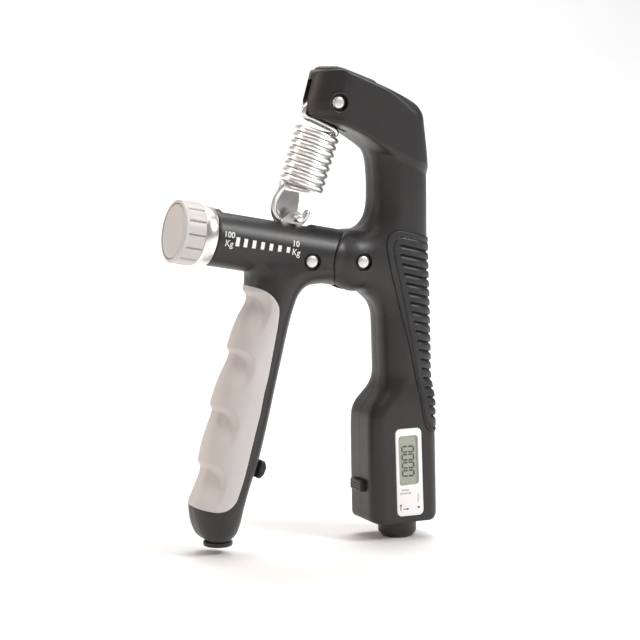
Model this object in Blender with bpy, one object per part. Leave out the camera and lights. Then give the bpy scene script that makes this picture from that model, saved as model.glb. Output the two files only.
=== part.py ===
"""Hand dynamometer: a spring hand gripper with an adjusting dial, a force scale and a squeeze counter.

Frame: metres, +Z up, X across the two handles (dial at -X, palm side at +X), Y is the thickness.
The origin is at the bottom centre of the bounding box. All sizes below are in millimetres.
"""
import bpy
import bmesh
import math
from mathutils import Vector, Matrix

MM = 0.001

# ---------------------------------------------------------------- driving dimensions (mm)
HALF_T = 10.5            # half thickness of both handles
SPLIT = 0.15             # half of the parting gap between front and back shells
GAP = 0.3                # gap between touching pieces
PIVOT = (18.1, 95.9)     # hinge of the two handles, x and z
TONGUE_PIN = (-0.4, 96.7)
TOP_PIN = (9.0, 148.7)   # upper anchor of the spring
LUG_PIN = (-3.6, 110.9)  # lower anchor of the spring, on the carriage
HUB_R = 10.4             # round hub of the frame at the pivot
CUP_R = HUB_R + 0.4      # concave end of the barrel that faces the hub
BARREL_TILT = math.radians(10.5)
BARREL_START = (-28.3, 104.5)   # a point of the barrel axis
BARREL_R = 9.45
BARREL_END = 5.4         # distance of the barrel's left end from BARREL_START
COLLAR_L = 4.5
COLLAR_R = 9.9
KNOB_L = 7.6
KNOB_R = 10.5
KNOB_FLUTES = 14
BORE_R = 6.6             # bore for the carriage nut
SCREW_R = 2.7
NUT_L = 7.5
NUT_R = 6.3
TRAVEL = 18.0            # travel of the carriage along the scale
WIRE_R = 1.05            # spring wire
COIL_R = 6.5
COIL_TURNS = 8.6
COIL_PITCH = 2.5
LOOP_R = 6.1             # end loops of the spring
PIN_R = 1.4
HEAD_R = 2.05            # bright pin heads
BUTTON_R = 6.6           # reset button under the counter
BUTTON_X = 36.0
LABEL = ((29.7, 38.8), (39.7, 38.8), (40.8, 8.7), (30.8, 8.7))
HOUSING_BOTTOM = 6.2


# ---------------------------------------------------------------- materials
def material(name, colour, metallic=0.0, roughness=0.5, alpha=1.0):
    m = bpy.data.materials.new(name)
    m.use_nodes = True
    b = m.node_tree.nodes["Principled BSDF"]
    b.inputs["Base Color"].default_value = (*colour, 1.0)
    b.inputs["Metallic"].default_value = metallic
    b.inputs["Roughness"].default_value = roughness
    b.inputs["Alpha"].default_value = alpha
    return m


# ---------------------------------------------------------------- geometry helpers
def finish(name, bm, mat, smooth=True):
    """Turn a closed bmesh in millimetres into a named object in metres."""
    bmesh.ops.recalc_face_normals(bm, faces=bm.faces)
    bmesh.ops.scale(bm, vec=(MM, MM, MM), verts=bm.verts)
    mesh = bpy.data.meshes.new(name)
    bm.to_mesh(mesh)
    bm.free()
    ob = bpy.data.objects.new(name, mesh)
    bpy.context.scene.collection.objects.link(ob)
    if mat is not None:
        mesh.materials.append(mat)
    shade(ob, smooth)
    return ob


def shade(ob, smooth):
    """Smooth shading with sharp edges above 35 degrees."""
    bm = bmesh.new()
    bm.from_mesh(ob.data)
    for f in bm.faces:
        f.smooth = smooth
    for e in bm.edges:
        e.smooth = len(e.link_faces) == 2 and e.calc_face_angle(0.0) < math.radians(35)
    bm.to_mesh(ob.data)
    bm.free()


def loft(name, rings, mat, smooth=True):
    """Closed skin over rings of equal point count, with filled ends."""
    bm = bmesh.new()
    rows = [[bm.verts.new(p) for p in ring] for ring in rings]
    n = len(rows[0])
    for a, b in zip(rows, rows[1:]):
        for i in range(n):
            j = (i + 1) % n
            bm.faces.new((a[i], a[j], b[j], b[i]))
    bm.faces.new(rows[0])
    bm.faces.new(reversed(rows[-1]))
    return finish(name, bm, mat, smooth)


def area(outline):
    return 0.5 * sum(a[0] * b[1] - b[0] * a[1] for a, b in zip(outline, outline[1:] + outline[:1]))


def inset(outline, d):
    """Move an anticlockwise outline inwards by d with mitred corners."""
    if abs(d) < 1e-9:
        return list(outline)
    n = len(outline)
    out = []
    for i in range(n):
        a, b, c = (Vector(outline[(i + k) % n]) for k in (-1, 0, 1))
        e1, e2 = (b - a).normalized(), (c - b).normalized()
        n1, n2 = Vector((-e1.y, e1.x)), Vector((-e2.y, e2.x))
        m = n1 + n2
        m = m / max(m.dot(n1), 0.35)
        out.append(tuple(b + m * d))
    return out


def slab(name, outline, y0, y1, r0=0.0, r1=0.0, mat=None, steps=2, smooth=True):
    """Prism along Y over an x, z outline; r0 and r1 round its rims at y0 and y1."""
    if area(outline) < 0:
        outline = outline[::-1]
    rings = []
    if r0 > 0:
        for k in range(steps, 0, -1):
            t = math.pi / 2 * k / steps
            rings.append((r0 * (1 - math.cos(t)), y0 + r0 - r0 * math.sin(t)))
        rings.append((0.0, y0 + r0))
    else:
        rings.append((0.0, y0))
    if r1 > 0:
        rings.append((0.0, y1 - r1))
        for k in range(1, steps + 1):
            t = math.pi / 2 * k / steps
            rings.append((r1 * (1 - math.cos(t)), y1 - r1 + r1 * math.sin(t)))
    else:
        rings.append((0.0, y1))
    return loft(name, [[(x, y, z) for x, z in inset(outline, d)] for d, y in rings], mat, smooth)


def lathe(name, base, axis, profile, mat=None, segments=28, radius=None, smooth=True):
    """Body of revolution: profile is a list of (distance along axis, radius)."""
    axis = Vector(axis).normalized()
    side = Vector((0, 1, 0)) if abs(axis.y) < 0.9 else Vector((1, 0, 0))
    u = (side - axis * side.dot(axis)).normalized()
    v = axis.cross(u)
    rings = []
    for s, r in profile:
        ring = []
        for i in range(segments):
            t = 2 * math.pi * i / segments
            k = radius(t) if radius else 1.0
            ring.append(Vector(base) + axis * s + (u * math.cos(t) + v * math.sin(t)) * r * k)
        rings.append(ring)
    return loft(name, rings, mat, smooth)


def rod_y(name, x, z, y0, y1, r, mat=None, segments=16, chamfer=0.0):
    p = [(y0, r), (y1, r)]
    if chamfer:
        p = [(y0, r - chamfer), (y0 + chamfer, r), (y1 - chamfer, r), (y1, r - chamfer)]
    return lathe(name, (x, 0, z), (0, 1, 0), p, mat, segments)


def box(name, x0, x1, y0, y1, z0, z1, mat=None, r=0.0):
    if r:
        return slab(name, [(x0, z0), (x1, z0), (x1, z1), (x0, z1)], y0, y1, r, r, mat, 1, False)
    return slab(name, [(x0, z0), (x1, z0), (x1, z1), (x0, z1)], y0, y1, mat=mat, smooth=False)


def boolean(ob, tool, operation="DIFFERENCE", keep=False):
    """Apply an exact boolean at once and drop the tool."""
    mod = ob.modifiers.new("cut", "BOOLEAN")
    mod.operation = operation
    mod.solver = "EXACT"
    mod.object = tool
    mesh = bpy.data.meshes.new_from_object(ob.evaluated_get(bpy.context.evaluated_depsgraph_get()))
    ob.modifiers.remove(mod)
    old = ob.data
    ob.data = mesh
    bpy.data.meshes.remove(old)
    if not keep:
        bpy.data.objects.remove(tool)
    return ob


def copy(ob, name):
    c = ob.copy()
    c.data = ob.data.copy()
    c.name = name
    bpy.context.scene.collection.objects.link(c)
    return c


def arc(cx, cz, r, a0, a1, n):
    return [(cx + r * math.cos(math.radians(a0 + (a1 - a0) * i / n)),
             cz + r * math.sin(math.radians(a0 + (a1 - a0) * i / n))) for i in range(n + 1)]


def sweep(name, path, r, mat, sides=7):
    """Round wire along a list of points, with filled ends."""
    pts = [Vector(p) for p in path]
    tan = [(pts[min(i + 1, len(pts) - 1)] - pts[max(i - 1, 0)]).normalized() for i in range(len(pts))]
    u = tan[0].orthogonal().normalized()
    rings = []
    for p, t in zip(pts, tan):
        u = (u - t * u.dot(t)).normalized()
        v = t.cross(u)
        rings.append([p + (u * math.cos(a) + v * math.sin(a)) * r
                      for a in (2 * math.pi * (k + 0.5) / sides for k in range(sides))])
    return loft(name, rings, mat)


# ---------------------------------------------------------------- clear the scene
for ob in list(bpy.data.objects):
    bpy.data.objects.remove(ob)

CHARCOAL = (0.035, 0.034, 0.036)
M = {
    "case": lambda n: material(n, CHARCOAL, 0.0, 0.45),
    "rubber": lambda n: material(n, (0.02, 0.02, 0.021), 0.0, 0.7),
    "grip": lambda n: material(n, (0.66, 0.61, 0.58), 0.0, 0.6),
    "steel": lambda n: material(n, (0.75, 0.75, 0.77), 1.0, 0.2),
    "brass": lambda n: material(n, (0.78, 0.6, 0.3), 1.0, 0.35),
    "knob": lambda n: material(n, (0.62, 0.61, 0.60), 0.0, 0.4),
    "white": lambda n: material(n, (0.85, 0.85, 0.84), 0.0, 0.4),
    "lcd": lambda n: material(n, (0.36, 0.38, 0.32), 0.0, 0.3),
    "clear": lambda n: material(n, (0.8, 0.82, 0.8), 0.0, 0.1, 0.35),
    "board": lambda n: material(n, (0.05, 0.25, 0.12), 0.0, 0.5),
}


def mat(kind, name):
    return M[kind]("m_" + name)


# ---------------------------------------------------------------- outlines (x, z), mm
def frame_outline():
    """Head, C-shaped neck, hub, lower handle and counter housing, clockwise from the nose."""
    pts = [(4.4, 157.9), (6.8, 159.4), (10.4, 159.5), (14.5, 158.4), (21.5, 155.6), (29.0, 152.6),
           (36.4, 149.6), (40.0, 147.6), (42.2, 144.6), (42.9, 140.0), (43.4, 134.0), (43.7, 126.0),
           (43.9, 116.0), (44.1, 106.0), (44.4, 96.0), (44.9, 84.0), (45.4, 70.0), (45.9, 56.0),
           (46.4, 42.0), (46.8, 30.0), (47.2, 18.0), (47.45, 13.0), (47.1, 9.6), (45.2, 7.3),
           (42.6, 6.4), (36.0, 6.2), (27.0, 6.2), (24.4, 6.8), (22.6, 8.8), (22.0, 12.0),
           (21.8, 20.0), (21.6, 30.0), (21.5, 40.0), (21.9, 44.0), (23.3, 47.0), (25.2, 49.6),
           (26.9, 52.3), (27.7, 56.0), (27.7, 62.0), (27.5, 68.0), (27.3, 73.0), (26.9, 77.6),
           (25.2, 81.3), (22.4, 83.7)]
    pts += arc(*PIVOT, HUB_R, -80, -255, 16)
    pts += [(18.9, 106.3), (21.8, 107.6), (24.0, 110.2), (25.1, 114.0), (25.3, 119.0), (25.1, 125.0),
            (24.2, 130.6), (21.9, 134.4), (18.2, 137.6), (12.2, 140.5), (3.6, 144.4), (2.3, 146.2),
            (1.9, 149.0), (3.0, 154.2)]
    return pts[::-1]


def limb_outline():
    """Inner core of the grip handle, from the barrel down to the rounded end."""
    pts = [(-20.2, 92.5), (-19.6, 88.5), (-20.8, 82.0), (-23.4, 75.0), (-26.0, 67.0), (-28.4, 59.0),
           (-31.2, 51.0), (-33.6, 43.0), (-35.8, 35.0), (-37.2, 28.0), (-38.6, 21.0), (-39.2, 14.0),
           (-38.9, 9.5), (-37.4, 6.4), (-34.8, 4.6), (-31.6, 3.9), (-28.2, 4.6), (-25.7, 6.7),
           (-24.2, 10.0), (-22.6, 15.0), (-20.4, 22.0), (-17.5, 30.0), (-15.0, 39.0), (-12.8, 48.0),
           (-10.7, 57.0), (-8.7, 65.0), (-6.8, 73.0), (-4.6, 80.6), (-2.4, 85.4), (1.2, 88.4),
           (6.0, 89.0), (11.5, 88.5), (16.0, 91.0), (16.0, 96.0), (6.0, 98.0), (-8.0, 100.0), (-20.0, 98.0)]
    return pts


def finger_outline():
    """Outer line of the soft grip with four finger grooves, and its seam on the core."""
    grooves = [(-20.3, 88.6), (-20.0, 85.0), (-21.0, 81.0), (-22.4, 77.0), (-24.6, 73.0),
               (-25.8, 69.0), (-26.4, 65.0), (-27.2, 61.5), (-29.0, 57.8), (-31.0, 54.0), (-32.2, 50.2),
               (-33.0, 46.2), (-33.4, 42.2), (-34.8, 38.6), (-36.0, 35.0), (-36.8, 31.0),
               (-37.4, 27.0), (-38.1, 23.0), (-39.4, 19.2), (-40.2, 16.6)]
    return grooves


def finger_seam():
    return [(-33.6, 14.8), (-30.2, 15.8), (-27.6, 18.0), (-26.4, 20.8), (-24.6, 26.6), (-22.8, 33.4),
            (-21.0, 40.4), (-19.0, 48.0), (-16.8, 57.0), (-14.7, 66.0), (-13.3, 73.4), (-12.5, 79.0),
            (-12.5, 82.0), (-13.4, 84.6), (-15.4, 87.0), (-18.0, 88.4)]


def palm_seam():
    return [(32.4, 106.6), (30.2, 105.2), (29.3, 102.6), (29.8, 96.0), (32.1, 86.0), (34.4, 75.7),
            (36.6, 65.4), (38.4, 55.1), (39.6, 48.2), (41.1, 40.0), (42.6, 37.4), (44.4, 36.6)]


# ---------------------------------------------------------------- barrel axis
AX = Vector((-math.cos(BARREL_TILT), 0, math.sin(BARREL_TILT)))
A0 = Vector((BARREL_START[0], 0, BARREL_START[1]))


def halves(whole, front_name, back_name, front_mat, back_mat):
    """Split a full body at the mid plane into a front and a back shell."""
    back = copy(whole, back_name)
    whole.name = front_name
    boolean(whole, box("c", -80, 80, -SPLIT, 40, -20, 200))
    boolean(back, box("c", -80, 80, -40, SPLIT, -20, 200))
    for ob, m in ((whole, front_mat), (back, back_mat)):
        ob.data.materials.clear()
        ob.data.materials.append(m)
        shade(ob, True)
    return whole, back


# ================================================================ FRAME HANDLE
frame = slab("frame", frame_outline(), -HALF_T, HALF_T, 3.0, 3.0)
# the nose is rounded in plan, so both vertical corners come off
for s in (-1, 1):
    corner = [(x, s * y) for x, y in [(-3, 14), (-3, 2.0)] + [(1.6 + 8.5 * (1 - math.cos(t)),
              2.0 + 8.6 * math.sin(t)) for t in (math.pi / 2 * k / 5 for k in range(6))] + [(10.1, 14)]]
    boolean(frame, loft("c", [[(x, y, z) for x, y in corner] for z in (136, 170)], None))
# slot for the upper loop of the spring, open at the nose and below
boolean(frame, slab("c", [(-5, 130), (15.6, 130), (16.6, 146), (16.0, 152), (13.0, 155.0), (8.0, 155.6),
                          (2.0, 154.6), (-5, 153)], -2.0, 2.0))
# fork slot for the steel tongue of the hinge
fork = []
for k in range(36):
    a = 10.0 * k
    r = 13.0 if 135 <= a <= 265 else 8.0
    fork.append((PIVOT[0] + r * math.cos(math.radians(a)), PIVOT[1] + r * math.sin(math.radians(a))))
boolean(frame, slab("c", fork, -3.0, 3.0))
# pins: through holes with counterbores
for x, z in (TOP_PIN, PIVOT):
    boolean(frame, rod_y("c", x, z, -12, 12, PIN_R + 0.05))
    for s in (-1, 1):
        boolean(frame, rod_y("c", x, z, s * 9.2, s * 12, HEAD_R + 0.9) if s > 0 else
                rod_y("c", x, z, -12, -9.2, HEAD_R + 0.9))
# counter bay, hollow of the handle, hole for the count plunger and for the reset button
boolean(frame, box("c", 25.0, 43.8, -8.4, 8.4, 13.0, 44.0))
boolean(frame, slab("c", [(31.5, 56), (41.5, 56), (40.5, 76), (31.5, 76)], -7.5, 7.5))
boolean(frame, slab("c", [(30.0, 112), (39.5, 112), (39.2, 136), (34, 139), (29.5, 134)], -7.5, 7.5))
boolean(frame, box("c", 15, 26, -4.25, 4.25, 16.7, 20.9))
boolean(frame, lathe("c", (BUTTON_X, 0, -3), (0, 0, 1), [(0, BUTTON_R + 0.3), (13.8, BUTTON_R + 0.3)]))
boolean(frame, lathe("c", (BUTTON_X, 0, 9), (0, 0, 1), [(0, 4.6), (6, 4.6)]))
# pocket and window for the faceplate, opening for the battery cover at the back
label = list(LABEL)
pocket = inset(label[::-1], -0.25)
boolean(frame, slab("c", pocket, -14, -HALF_T + 1.0))
boolean(frame, slab("c", [(31.9, 36.2), (38.0, 36.2), (38.6, 20.2), (32.5, 20.2)], -14, -6))
boolean(frame, box("c", 27.0, 42.0, 6.0, 14.0, 17.0, 37.0))
# recess for the palm grip, which wraps the front, the side and the back of the handle
palm_region = palm_seam() + [(60, 36.6), (60, 106.6)]
palm_cut = slab("palm_cut", inset(palm_region, -GAP), -20, 20)
boolean(palm_cut, slab("c", inset(frame_outline(), 1.9), -HALF_T + 1.9, HALF_T - 1.9, 2.0, 2.0))
boolean(frame, palm_cut)
frame_front, frame_back = halves(frame, "frame_shell_front", "frame_shell_back",
                                 mat("case", "frame_front"), mat("case", "frame_back"))
# screw bosses are driven from the back
SCREWS_F = ((34.0, 143.6), (27.6, 104.6), (35.5, 50.2))
for x, z in SCREWS_F:
    boolean(frame_back, rod_y("c", x, z, -1, 12, 1.15, segments=16))
    boolean(frame_back, rod_y("c", x, z, 8.0, 12, 2.3, segments=20))
    boolean(frame_front, rod_y("c", x, z, -6.5, 1, 1.15, segments=16))
for ob in (frame_front, frame_back):
    shade(ob, True)
for k, (x, z) in enumerate(SCREWS_F):
    lathe("frame_screw_%d" % (k + 1), (x, 0, z), (0, 1, 0), [(-6.0, 0.9), (8.1, 0.9), (8.1, 2.0), (9.1, 2.0)],
          mat("steel", "frame_screw_%d" % (k + 1)), 14)

# palm grip with ribs across the side
palm = slab("palm_grip", inset(frame_outline(), -0.35), -HALF_T - 0.35, HALF_T + 0.35, 3.2, 3.2,
            mat("rubber", "palm_grip"))
boolean(palm, slab("c", palm_region, -20, 20), "INTERSECT")
boolean(palm, slab("c", inset(frame_outline(), 1.6), -HALF_T + 1.6, HALF_T - 1.6, 2.2, 2.2))
for k in range(18):
    z = 102.0 - 3.55 * k
    w = 0.42
    inner = 30.5 + 0.235 * (102.0 - z) + 2.2
    cutter = slab("c", [(inner, z + 0.9 - w), (52, z - 1.6 - w), (52, z - 1.6 + w), (inner, z + 0.9 + w)],
                  -16, 16)
    boolean(cutter, slab("c", inset(frame_outline(), 0.35), -HALF_T + 0.35, HALF_T - 0.35, 2.6, 2.6))
    boolean(palm, cutter)
shade(palm, True)

# raised cap on the head
cap = [(7.4, 159.75), (10.5, 159.85), (14.6, 158.75), (21.6, 155.95), (24.9, 154.6), (25.2, 155.2),
       (24.6, 155.9), (17.8, 158.5), (12.6, 160.2), (9.2, 160.6), (7.6, 160.3)]
slab("head_cap", cap, -5.6, 5.6, 0.25, 0.25, mat("case", "head_cap"), 1)

# pins through the frame
for name, (x, z) in (("spring_pin", TOP_PIN), ("pivot_pin", PIVOT)):
    lathe(name, (x, 0, z), (0, 1, 0), [(-10.1, HEAD_R - 0.4), (-9.8, HEAD_R), (-9.3, HEAD_R), (-9.3, PIN_R),
                                       (9.3, PIN_R), (9.3, HEAD_R), (9.8, HEAD_R), (10.1, HEAD_R - 0.4)],
          mat("steel", name), 16)
for s, side in ((-1, "front"), (1, "back")):
    w = rod_y("pivot_washer_" + side, *PIVOT, min(s * 2.35, s * 2.85), max(s * 2.35, s * 2.85), 4.5,
              mat("steel", "washer_" + side))
    boolean(w, rod_y("c", *PIVOT, -5, 5, PIN_R + 0.06))
    shade(w, True)

# counter: faceplate, lens, display, board, switch, battery and its cover
plate = slab("counter_faceplate", label, -HALF_T - 0.15, -HALF_T + 0.75, 0.2, 0.0, mat("white", "faceplate"), 1)
boolean(plate, slab("c", [(31.4, 36.4), (38.2, 36.4), (38.9, 19.9), (32.1, 19.9)], -14, -6))
shade(plate, True)
slab("lcd_lens", [(31.7, 36.1), (37.9, 36.1), (38.6, 20.2), (32.4, 20.2)], -10.45, -10.0,
     mat=mat("clear", "lcd_lens"))
slab("lcd_panel", [(32.2, 35.9), (37.7, 35.9), (38.3, 20.5), (32.8, 20.5)], -9.7, -7.9, mat=mat("lcd", "lcd_panel"))
slab("counter_board", [(26.0, 40.0), (42.6, 40.0), (43.0, 15.6), (26.0, 15.6)], -7.6, -6.4,
     mat=mat("board", "counter_board"))
box("count_switch", 28.2, 32.4, -6.1, 2.5, 16.6, 21.0, mat("case", "count_switch"))
rod_y("battery", 35.6, 28.0, 0.2, 5.2, 5.8, mat("steel", "battery"), 24, 0.4)
box("battery_clip", 29.0, 41.6, -1.0, -0.4, 24.5, 31.5, mat("steel", "battery_clip"))
box("battery_cover", 27.3, 41.7, 8.9, 10.45, 17.3, 36.7, mat("case", "battery_cover"), 0.3)

# ================================================================ MOVING PIECES OF THE COUNTER
plunger = box("count_plunger", 19.9, 26.4, -4.0, 4.0, 16.95, 20.65, mat("case", "count_plunger"), 0.3)
lathe("reset_button", (BUTTON_X, 0, 0), (0, 0, 1),
      [(0, BUTTON_R - 1.4), (0.6, BUTTON_R - 0.5), (1.4, BUTTON_R), (9.2, BUTTON_R), (9.2, 4.2), (13.5, 4.2)],
      mat("case", "reset_button"), 28)

# ================================================================ GRIP HANDLE
grip = slab("grip", limb_outline(), -HALF_T + 0.7, HALF_T - 0.7, 3.4, 3.4)
boolean(grip, lathe("c", A0, AX, [(-52, BARREL_R), (BARREL_END, BARREL_R)], None, 40), "UNION")
boolean(grip, rod_y("c", *PIVOT, -20, 20, CUP_R, segments=56))
boolean(grip, slab("c", [(PIVOT[0] - 3, 84), (40, 80), (40, 112), (PIVOT[0] - 3, 108)], -20, 20))
# bore for the carriage nut and slot for its lug and the spring loop
boolean(grip, lathe("c", A0, AX, [(-24.45, BORE_R), (BARREL_END + 5, BORE_R)], None, 32))
slot = []
for s, h in ((-30.8, 5.6), (-30.8, 14.0), (3.4, 14.0), (3.4, 0.0), (-21.0, 0.0), (-21.0, 5.6)):
    p = A0 + AX * s + Vector((math.sin(BARREL_TILT), 0, math.cos(BARREL_TILT))) * h
    slot.append((p.x, p.z))
boolean(grip, slab("c", slot, -3.9, 3.9))
# pocket of the tongue
boolean(grip, slab("c", [(-4.9, 93.5), (-4.9, 100.0), (-2.5, 102.2), (24, 101.6), (24, 88.0), (4.0, 89.8),
                         (-2.0, 91.0)], -2.5, 2.5))
boolean(grip, rod_y("c", *TONGUE_PIN, -12, 12, PIN_R + 0.05))
for y0, y1 in ((-12, -8.6), (8.6, 12)):
    boolean(grip, rod_y("c", *TONGUE_PIN, y0, y1, HEAD_R + 0.9))
# the core is recessed where the soft grip wraps round it
seam = finger_seam() + [(-22.0, 88.9), (-60, 90.5), (-60, 12.0), (-40.0, 15.2)]
finger_cut = slab("finger_cut", inset(seam, -GAP), -20, 20)
boolean(finger_cut, slab("c", inset(limb_outline(), 2.3), -HALF_T + 2.6, HALF_T - 2.6, 2.0, 2.0))
boolean(grip, finger_cut)
# hollow of the handle
boolean(grip, slab("c", [(-17.5, 77), (-12.5, 77), (-22.8, 36), (-29, 36)], -5.5, 5.5))
# flat for the foot, recess for the striker pad on the inner edge
boolean(grip, lathe("c", (-30.7, 0, 1.0), (0, 0, 1), [(0, 5.2), (3.5, 5.2)]))
boolean(grip, slab("c", [(-18.8, 24.6), (-10, 21.2), (-10, 29), (-16.6, 31.2)], -4.2, 4.2))
grip_front, grip_back = halves(grip, "grip_shell_front", "grip_shell_back",
                               mat("case", "grip_front"), mat("case", "grip_back"))
SCREWS_G = ((-11.4, 90.4), (-32.0, 10.4))
for x, z in SCREWS_G:
    boolean(grip_back, rod_y("c", x, z, -1, 12, 1.15, segments=16))
    boolean(grip_back, rod_y("c", x, z, 7.4, 12, 2.3, segments=20))
    boolean(grip_front, rod_y("c", x, z, -6.5, 1, 1.15, segments=16))
for ob in (grip_front, grip_back):
    shade(ob, True)
for k, (x, z) in enumerate(SCREWS_G):
    lathe("grip_screw_%d" % (k + 1), (x, 0, z), (0, 1, 0), [(-6.0, 0.9), (7.5, 0.9), (7.5, 2.0), (8.5, 2.0)],
          mat("steel", "grip_screw_%d" % (k + 1)), 14)

around = [(-20.0, 99.0)] + finger_outline() + [(-41.0, 12.0), (-41.0, 4.0), (2.0, 4.0), (2.0, 99.0)]
finger = slab("finger_grip", around, -HALF_T, HALF_T, 2.6, 2.6, mat("grip", "finger_grip"))
boolean(finger, slab("c", finger_seam() + [(-22.0, 88.6), (-60, 88.6), (-60, 14.0), (-40.0, 16.4)], -20, 20),
        "INTERSECT")
boolean(finger, slab("c", inset(limb_outline(), 2.0), -HALF_T + 2.3, HALF_T - 2.3, 2.2, 2.2))
shade(finger, True)

# steel tongue that carries the hinge
tongue = slab("hinge_tongue", arc(*TONGUE_PIN, 4.2, 96, 264, 8) + arc(*PIVOT, 6.6, 266, 454, 14),
              -2.0, 2.0, 0.3, 0.3, mat("steel", "hinge_tongue"), 1)
for x, z in (TONGUE_PIN, PIVOT):
    boolean(tongue, rod_y("c", x, z, -5, 5, PIN_R + 0.05))
shade(tongue, True)
lathe("tongue_pin", (TONGUE_PIN[0], 0, TONGUE_PIN[1]), (0, 1, 0),
      [(-9.6, HEAD_R - 0.4), (-9.3, HEAD_R), (-8.7, HEAD_R), (-8.7, PIN_R), (8.7, PIN_R), (8.7, HEAD_R),
       (9.3, HEAD_R), (9.6, HEAD_R - 0.4)], mat("steel", "tongue_pin"), 16)
slab("striker_pad", [(-18.4, 25.0), (-16.9, 24.4), (-15.4, 25.6), (-14.4, 28.0), (-14.9, 30.2), (-16.5, 30.8)],
     -3.9, 3.9, 0.3, 0.3, mat("rubber", "striker_pad"), 1)
lathe("grip_foot", (-30.7, 0, 2.7), (0, 0, 1), [(0, 4.4), (0.5, 4.9), (1.35, 4.9), (1.35, 4.0)],
      mat("rubber", "grip_foot"), 28)

# metal collar and end bearing of the barrel
collar = lathe("barrel_collar", A0, AX, [(BARREL_END + GAP, COLLAR_R), (BARREL_END + COLLAR_L, COLLAR_R)],
               mat("steel", "barrel_collar"), 40)
boolean(collar, lathe("c", A0, AX, [(0, SCREW_R + 0.35), (20, SCREW_R + 0.35)], None, 24))
shade(collar, True)
bush = lathe("screw_bush", A0, AX, [(BARREL_END - 3.4, BORE_R - 0.15), (BARREL_END, BORE_R - 0.15)],
             mat("brass", "screw_bush"), 32)
boolean(bush, lathe("c", A0, AX, [(-20, SCREW_R + 0.06), (20, SCREW_R + 0.06)], None, 24))
shade(bush, True)

# ================================================================ DIAL
s0 = BARREL_END + COLLAR_L + GAP
s1 = s0 + KNOB_L
knob = lathe("dial_knob", A0, AX, [(s0, KNOB_R - 0.6), (s0 + 0.6, KNOB_R), (s1 - 0.7, KNOB_R), (s1, KNOB_R - 0.9)],
             mat("knob", "dial_knob"), 42)
for k in range(KNOB_FLUTES):
    a = 2 * math.pi * k / KNOB_FLUTES
    u = Vector((0, 1, 0)) * math.cos(a) + AX.cross(Vector((0, 1, 0))) * math.sin(a)
    boolean(knob, lathe("c", A0 + u * (KNOB_R + 0.1), AX, [(s0 + 1.0, 0.45), (s1 - 1.3, 0.45)], None, 4))
boolean(knob, lathe("c", A0, AX, [(s1 - 0.9, KNOB_R - 1.3), (s1 + 1, KNOB_R - 1.3)], None, 32))
boolean(knob, lathe("c", A0, AX, [(s0 - 1, SCREW_R + 0.05), (s1 - 2.6, SCREW_R + 0.05)], None, 24))
shade(knob, True)
lathe("dial_cap", A0, AX, [(s1 - 0.6, KNOB_R - 1.6), (s1 - 0.15, KNOB_R - 1.6), (s1 + 0.05, KNOB_R - 1.9)],
      mat("knob", "dial_cap"), 32)
lathe("lead_screw", A0, AX, [(-23.6, 1.9), (-23.1, SCREW_R), (s1 - 2.9, SCREW_R)], mat("steel", "lead_screw"), 20)

# ================================================================ CARRIAGE
up = Vector((math.sin(BARREL_TILT), 0, math.cos(BARREL_TILT)))
lug = Vector((LUG_PIN[0], 0, LUG_PIN[1]))
s_lug = (lug - A0).dot(AX)                  # where the lug pin sits along the barrel
nut_s0, nut_s1 = s_lug - 1.1, s_lug - 1.1 + NUT_L
nut = lathe("carriage_nut", A0, AX, [(nut_s0, NUT_R), (nut_s1, NUT_R)], mat("brass", "carriage_nut"), 32)
boolean(nut, lathe("c", A0, AX, [(-40, SCREW_R + 0.06), (20, SCREW_R + 0.06)], None, 20))


def on_barrel(s, h):
    p = A0 + AX * s + up * h
    return p.x, p.z


for s in (-1, 1):
    cheek = [on_barrel(nut_s0 + 0.8, 4.9), on_barrel(nut_s1 - 0.8, 4.9), on_barrel(nut_s1 - 1.6, 9.0)]
    if s > 0:
        cheek += [on_barrel(s_lug + 2.9, 12.5), on_barrel(s_lug + 2.5, 18.6), on_barrel(s_lug - 2.7, 18.4),
                  on_barrel(s_lug - 2.7, 9.6)]
    else:
        cheek += [on_barrel(s_lug + 2.4, 12.4), on_barrel(s_lug, 13.1), on_barrel(s_lug - 2.3, 12.2),
                  on_barrel(s_lug - 2.7, 9.6)]
    plate = slab("carriage_cheek_" + ("back" if s > 0 else "front"), cheek, min(s * 2.1, s * 3.5),
                 max(s * 2.1, s * 3.5), mat=mat("steel", "cheek_" + ("back" if s > 0 else "front")))
    boolean(plate, rod_y("c", *LUG_PIN, -9, 9, PIN_R + 0.04))
    boolean(nut, slab("c", inset(cheek if area(cheek) > 0 else cheek[::-1], -0.06),
                      min(s * 2.04, s * 3.56), max(s * 2.04, s * 3.56)))
    shade(plate, True)
shade(nut, True)
rod_y("carriage_pin", *LUG_PIN, -7.0, 7.0, PIN_R, mat("steel", "carriage_pin"), 16, 0.2)

# ================================================================ SPRING
top, low = Vector((TOP_PIN[0], 0, TOP_PIN[1])), lug
axis = (top - low).normalized()                       # from the lower to the upper anchor
across = Vector((axis.z, 0, -axis.x))                 # to the right of the axis
seat = LOOP_R - WIRE_R - PIN_R - 0.12                 # loop centre above its pin
low_c, top_c = low + axis * seat, top - axis * seat
mid = (top + low) / 2
coil_h = COIL_PITCH * COIL_TURNS


def coil_point(turn):
    """Centre line of the coil; turn 0 is at the lower left and the wire climbs to the back."""
    a = 2 * math.pi * turn
    h = -coil_h / 2 + COIL_PITCH * turn
    return mid + axis * h - across * (COIL_R * math.cos(a)) + Vector((0, COIL_R * math.sin(a), 0))


def loop(centre, sign, start, stop, n):
    """Part of an end loop in the XZ plane, angles measured from the left side."""
    out = []
    for k in range(n + 1):
        a = math.radians(start + (stop - start) * k / n)
        out.append(centre - across * (LOOP_R * math.cos(a)) - axis * (sign * LOOP_R * math.sin(a)))
    return out


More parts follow.
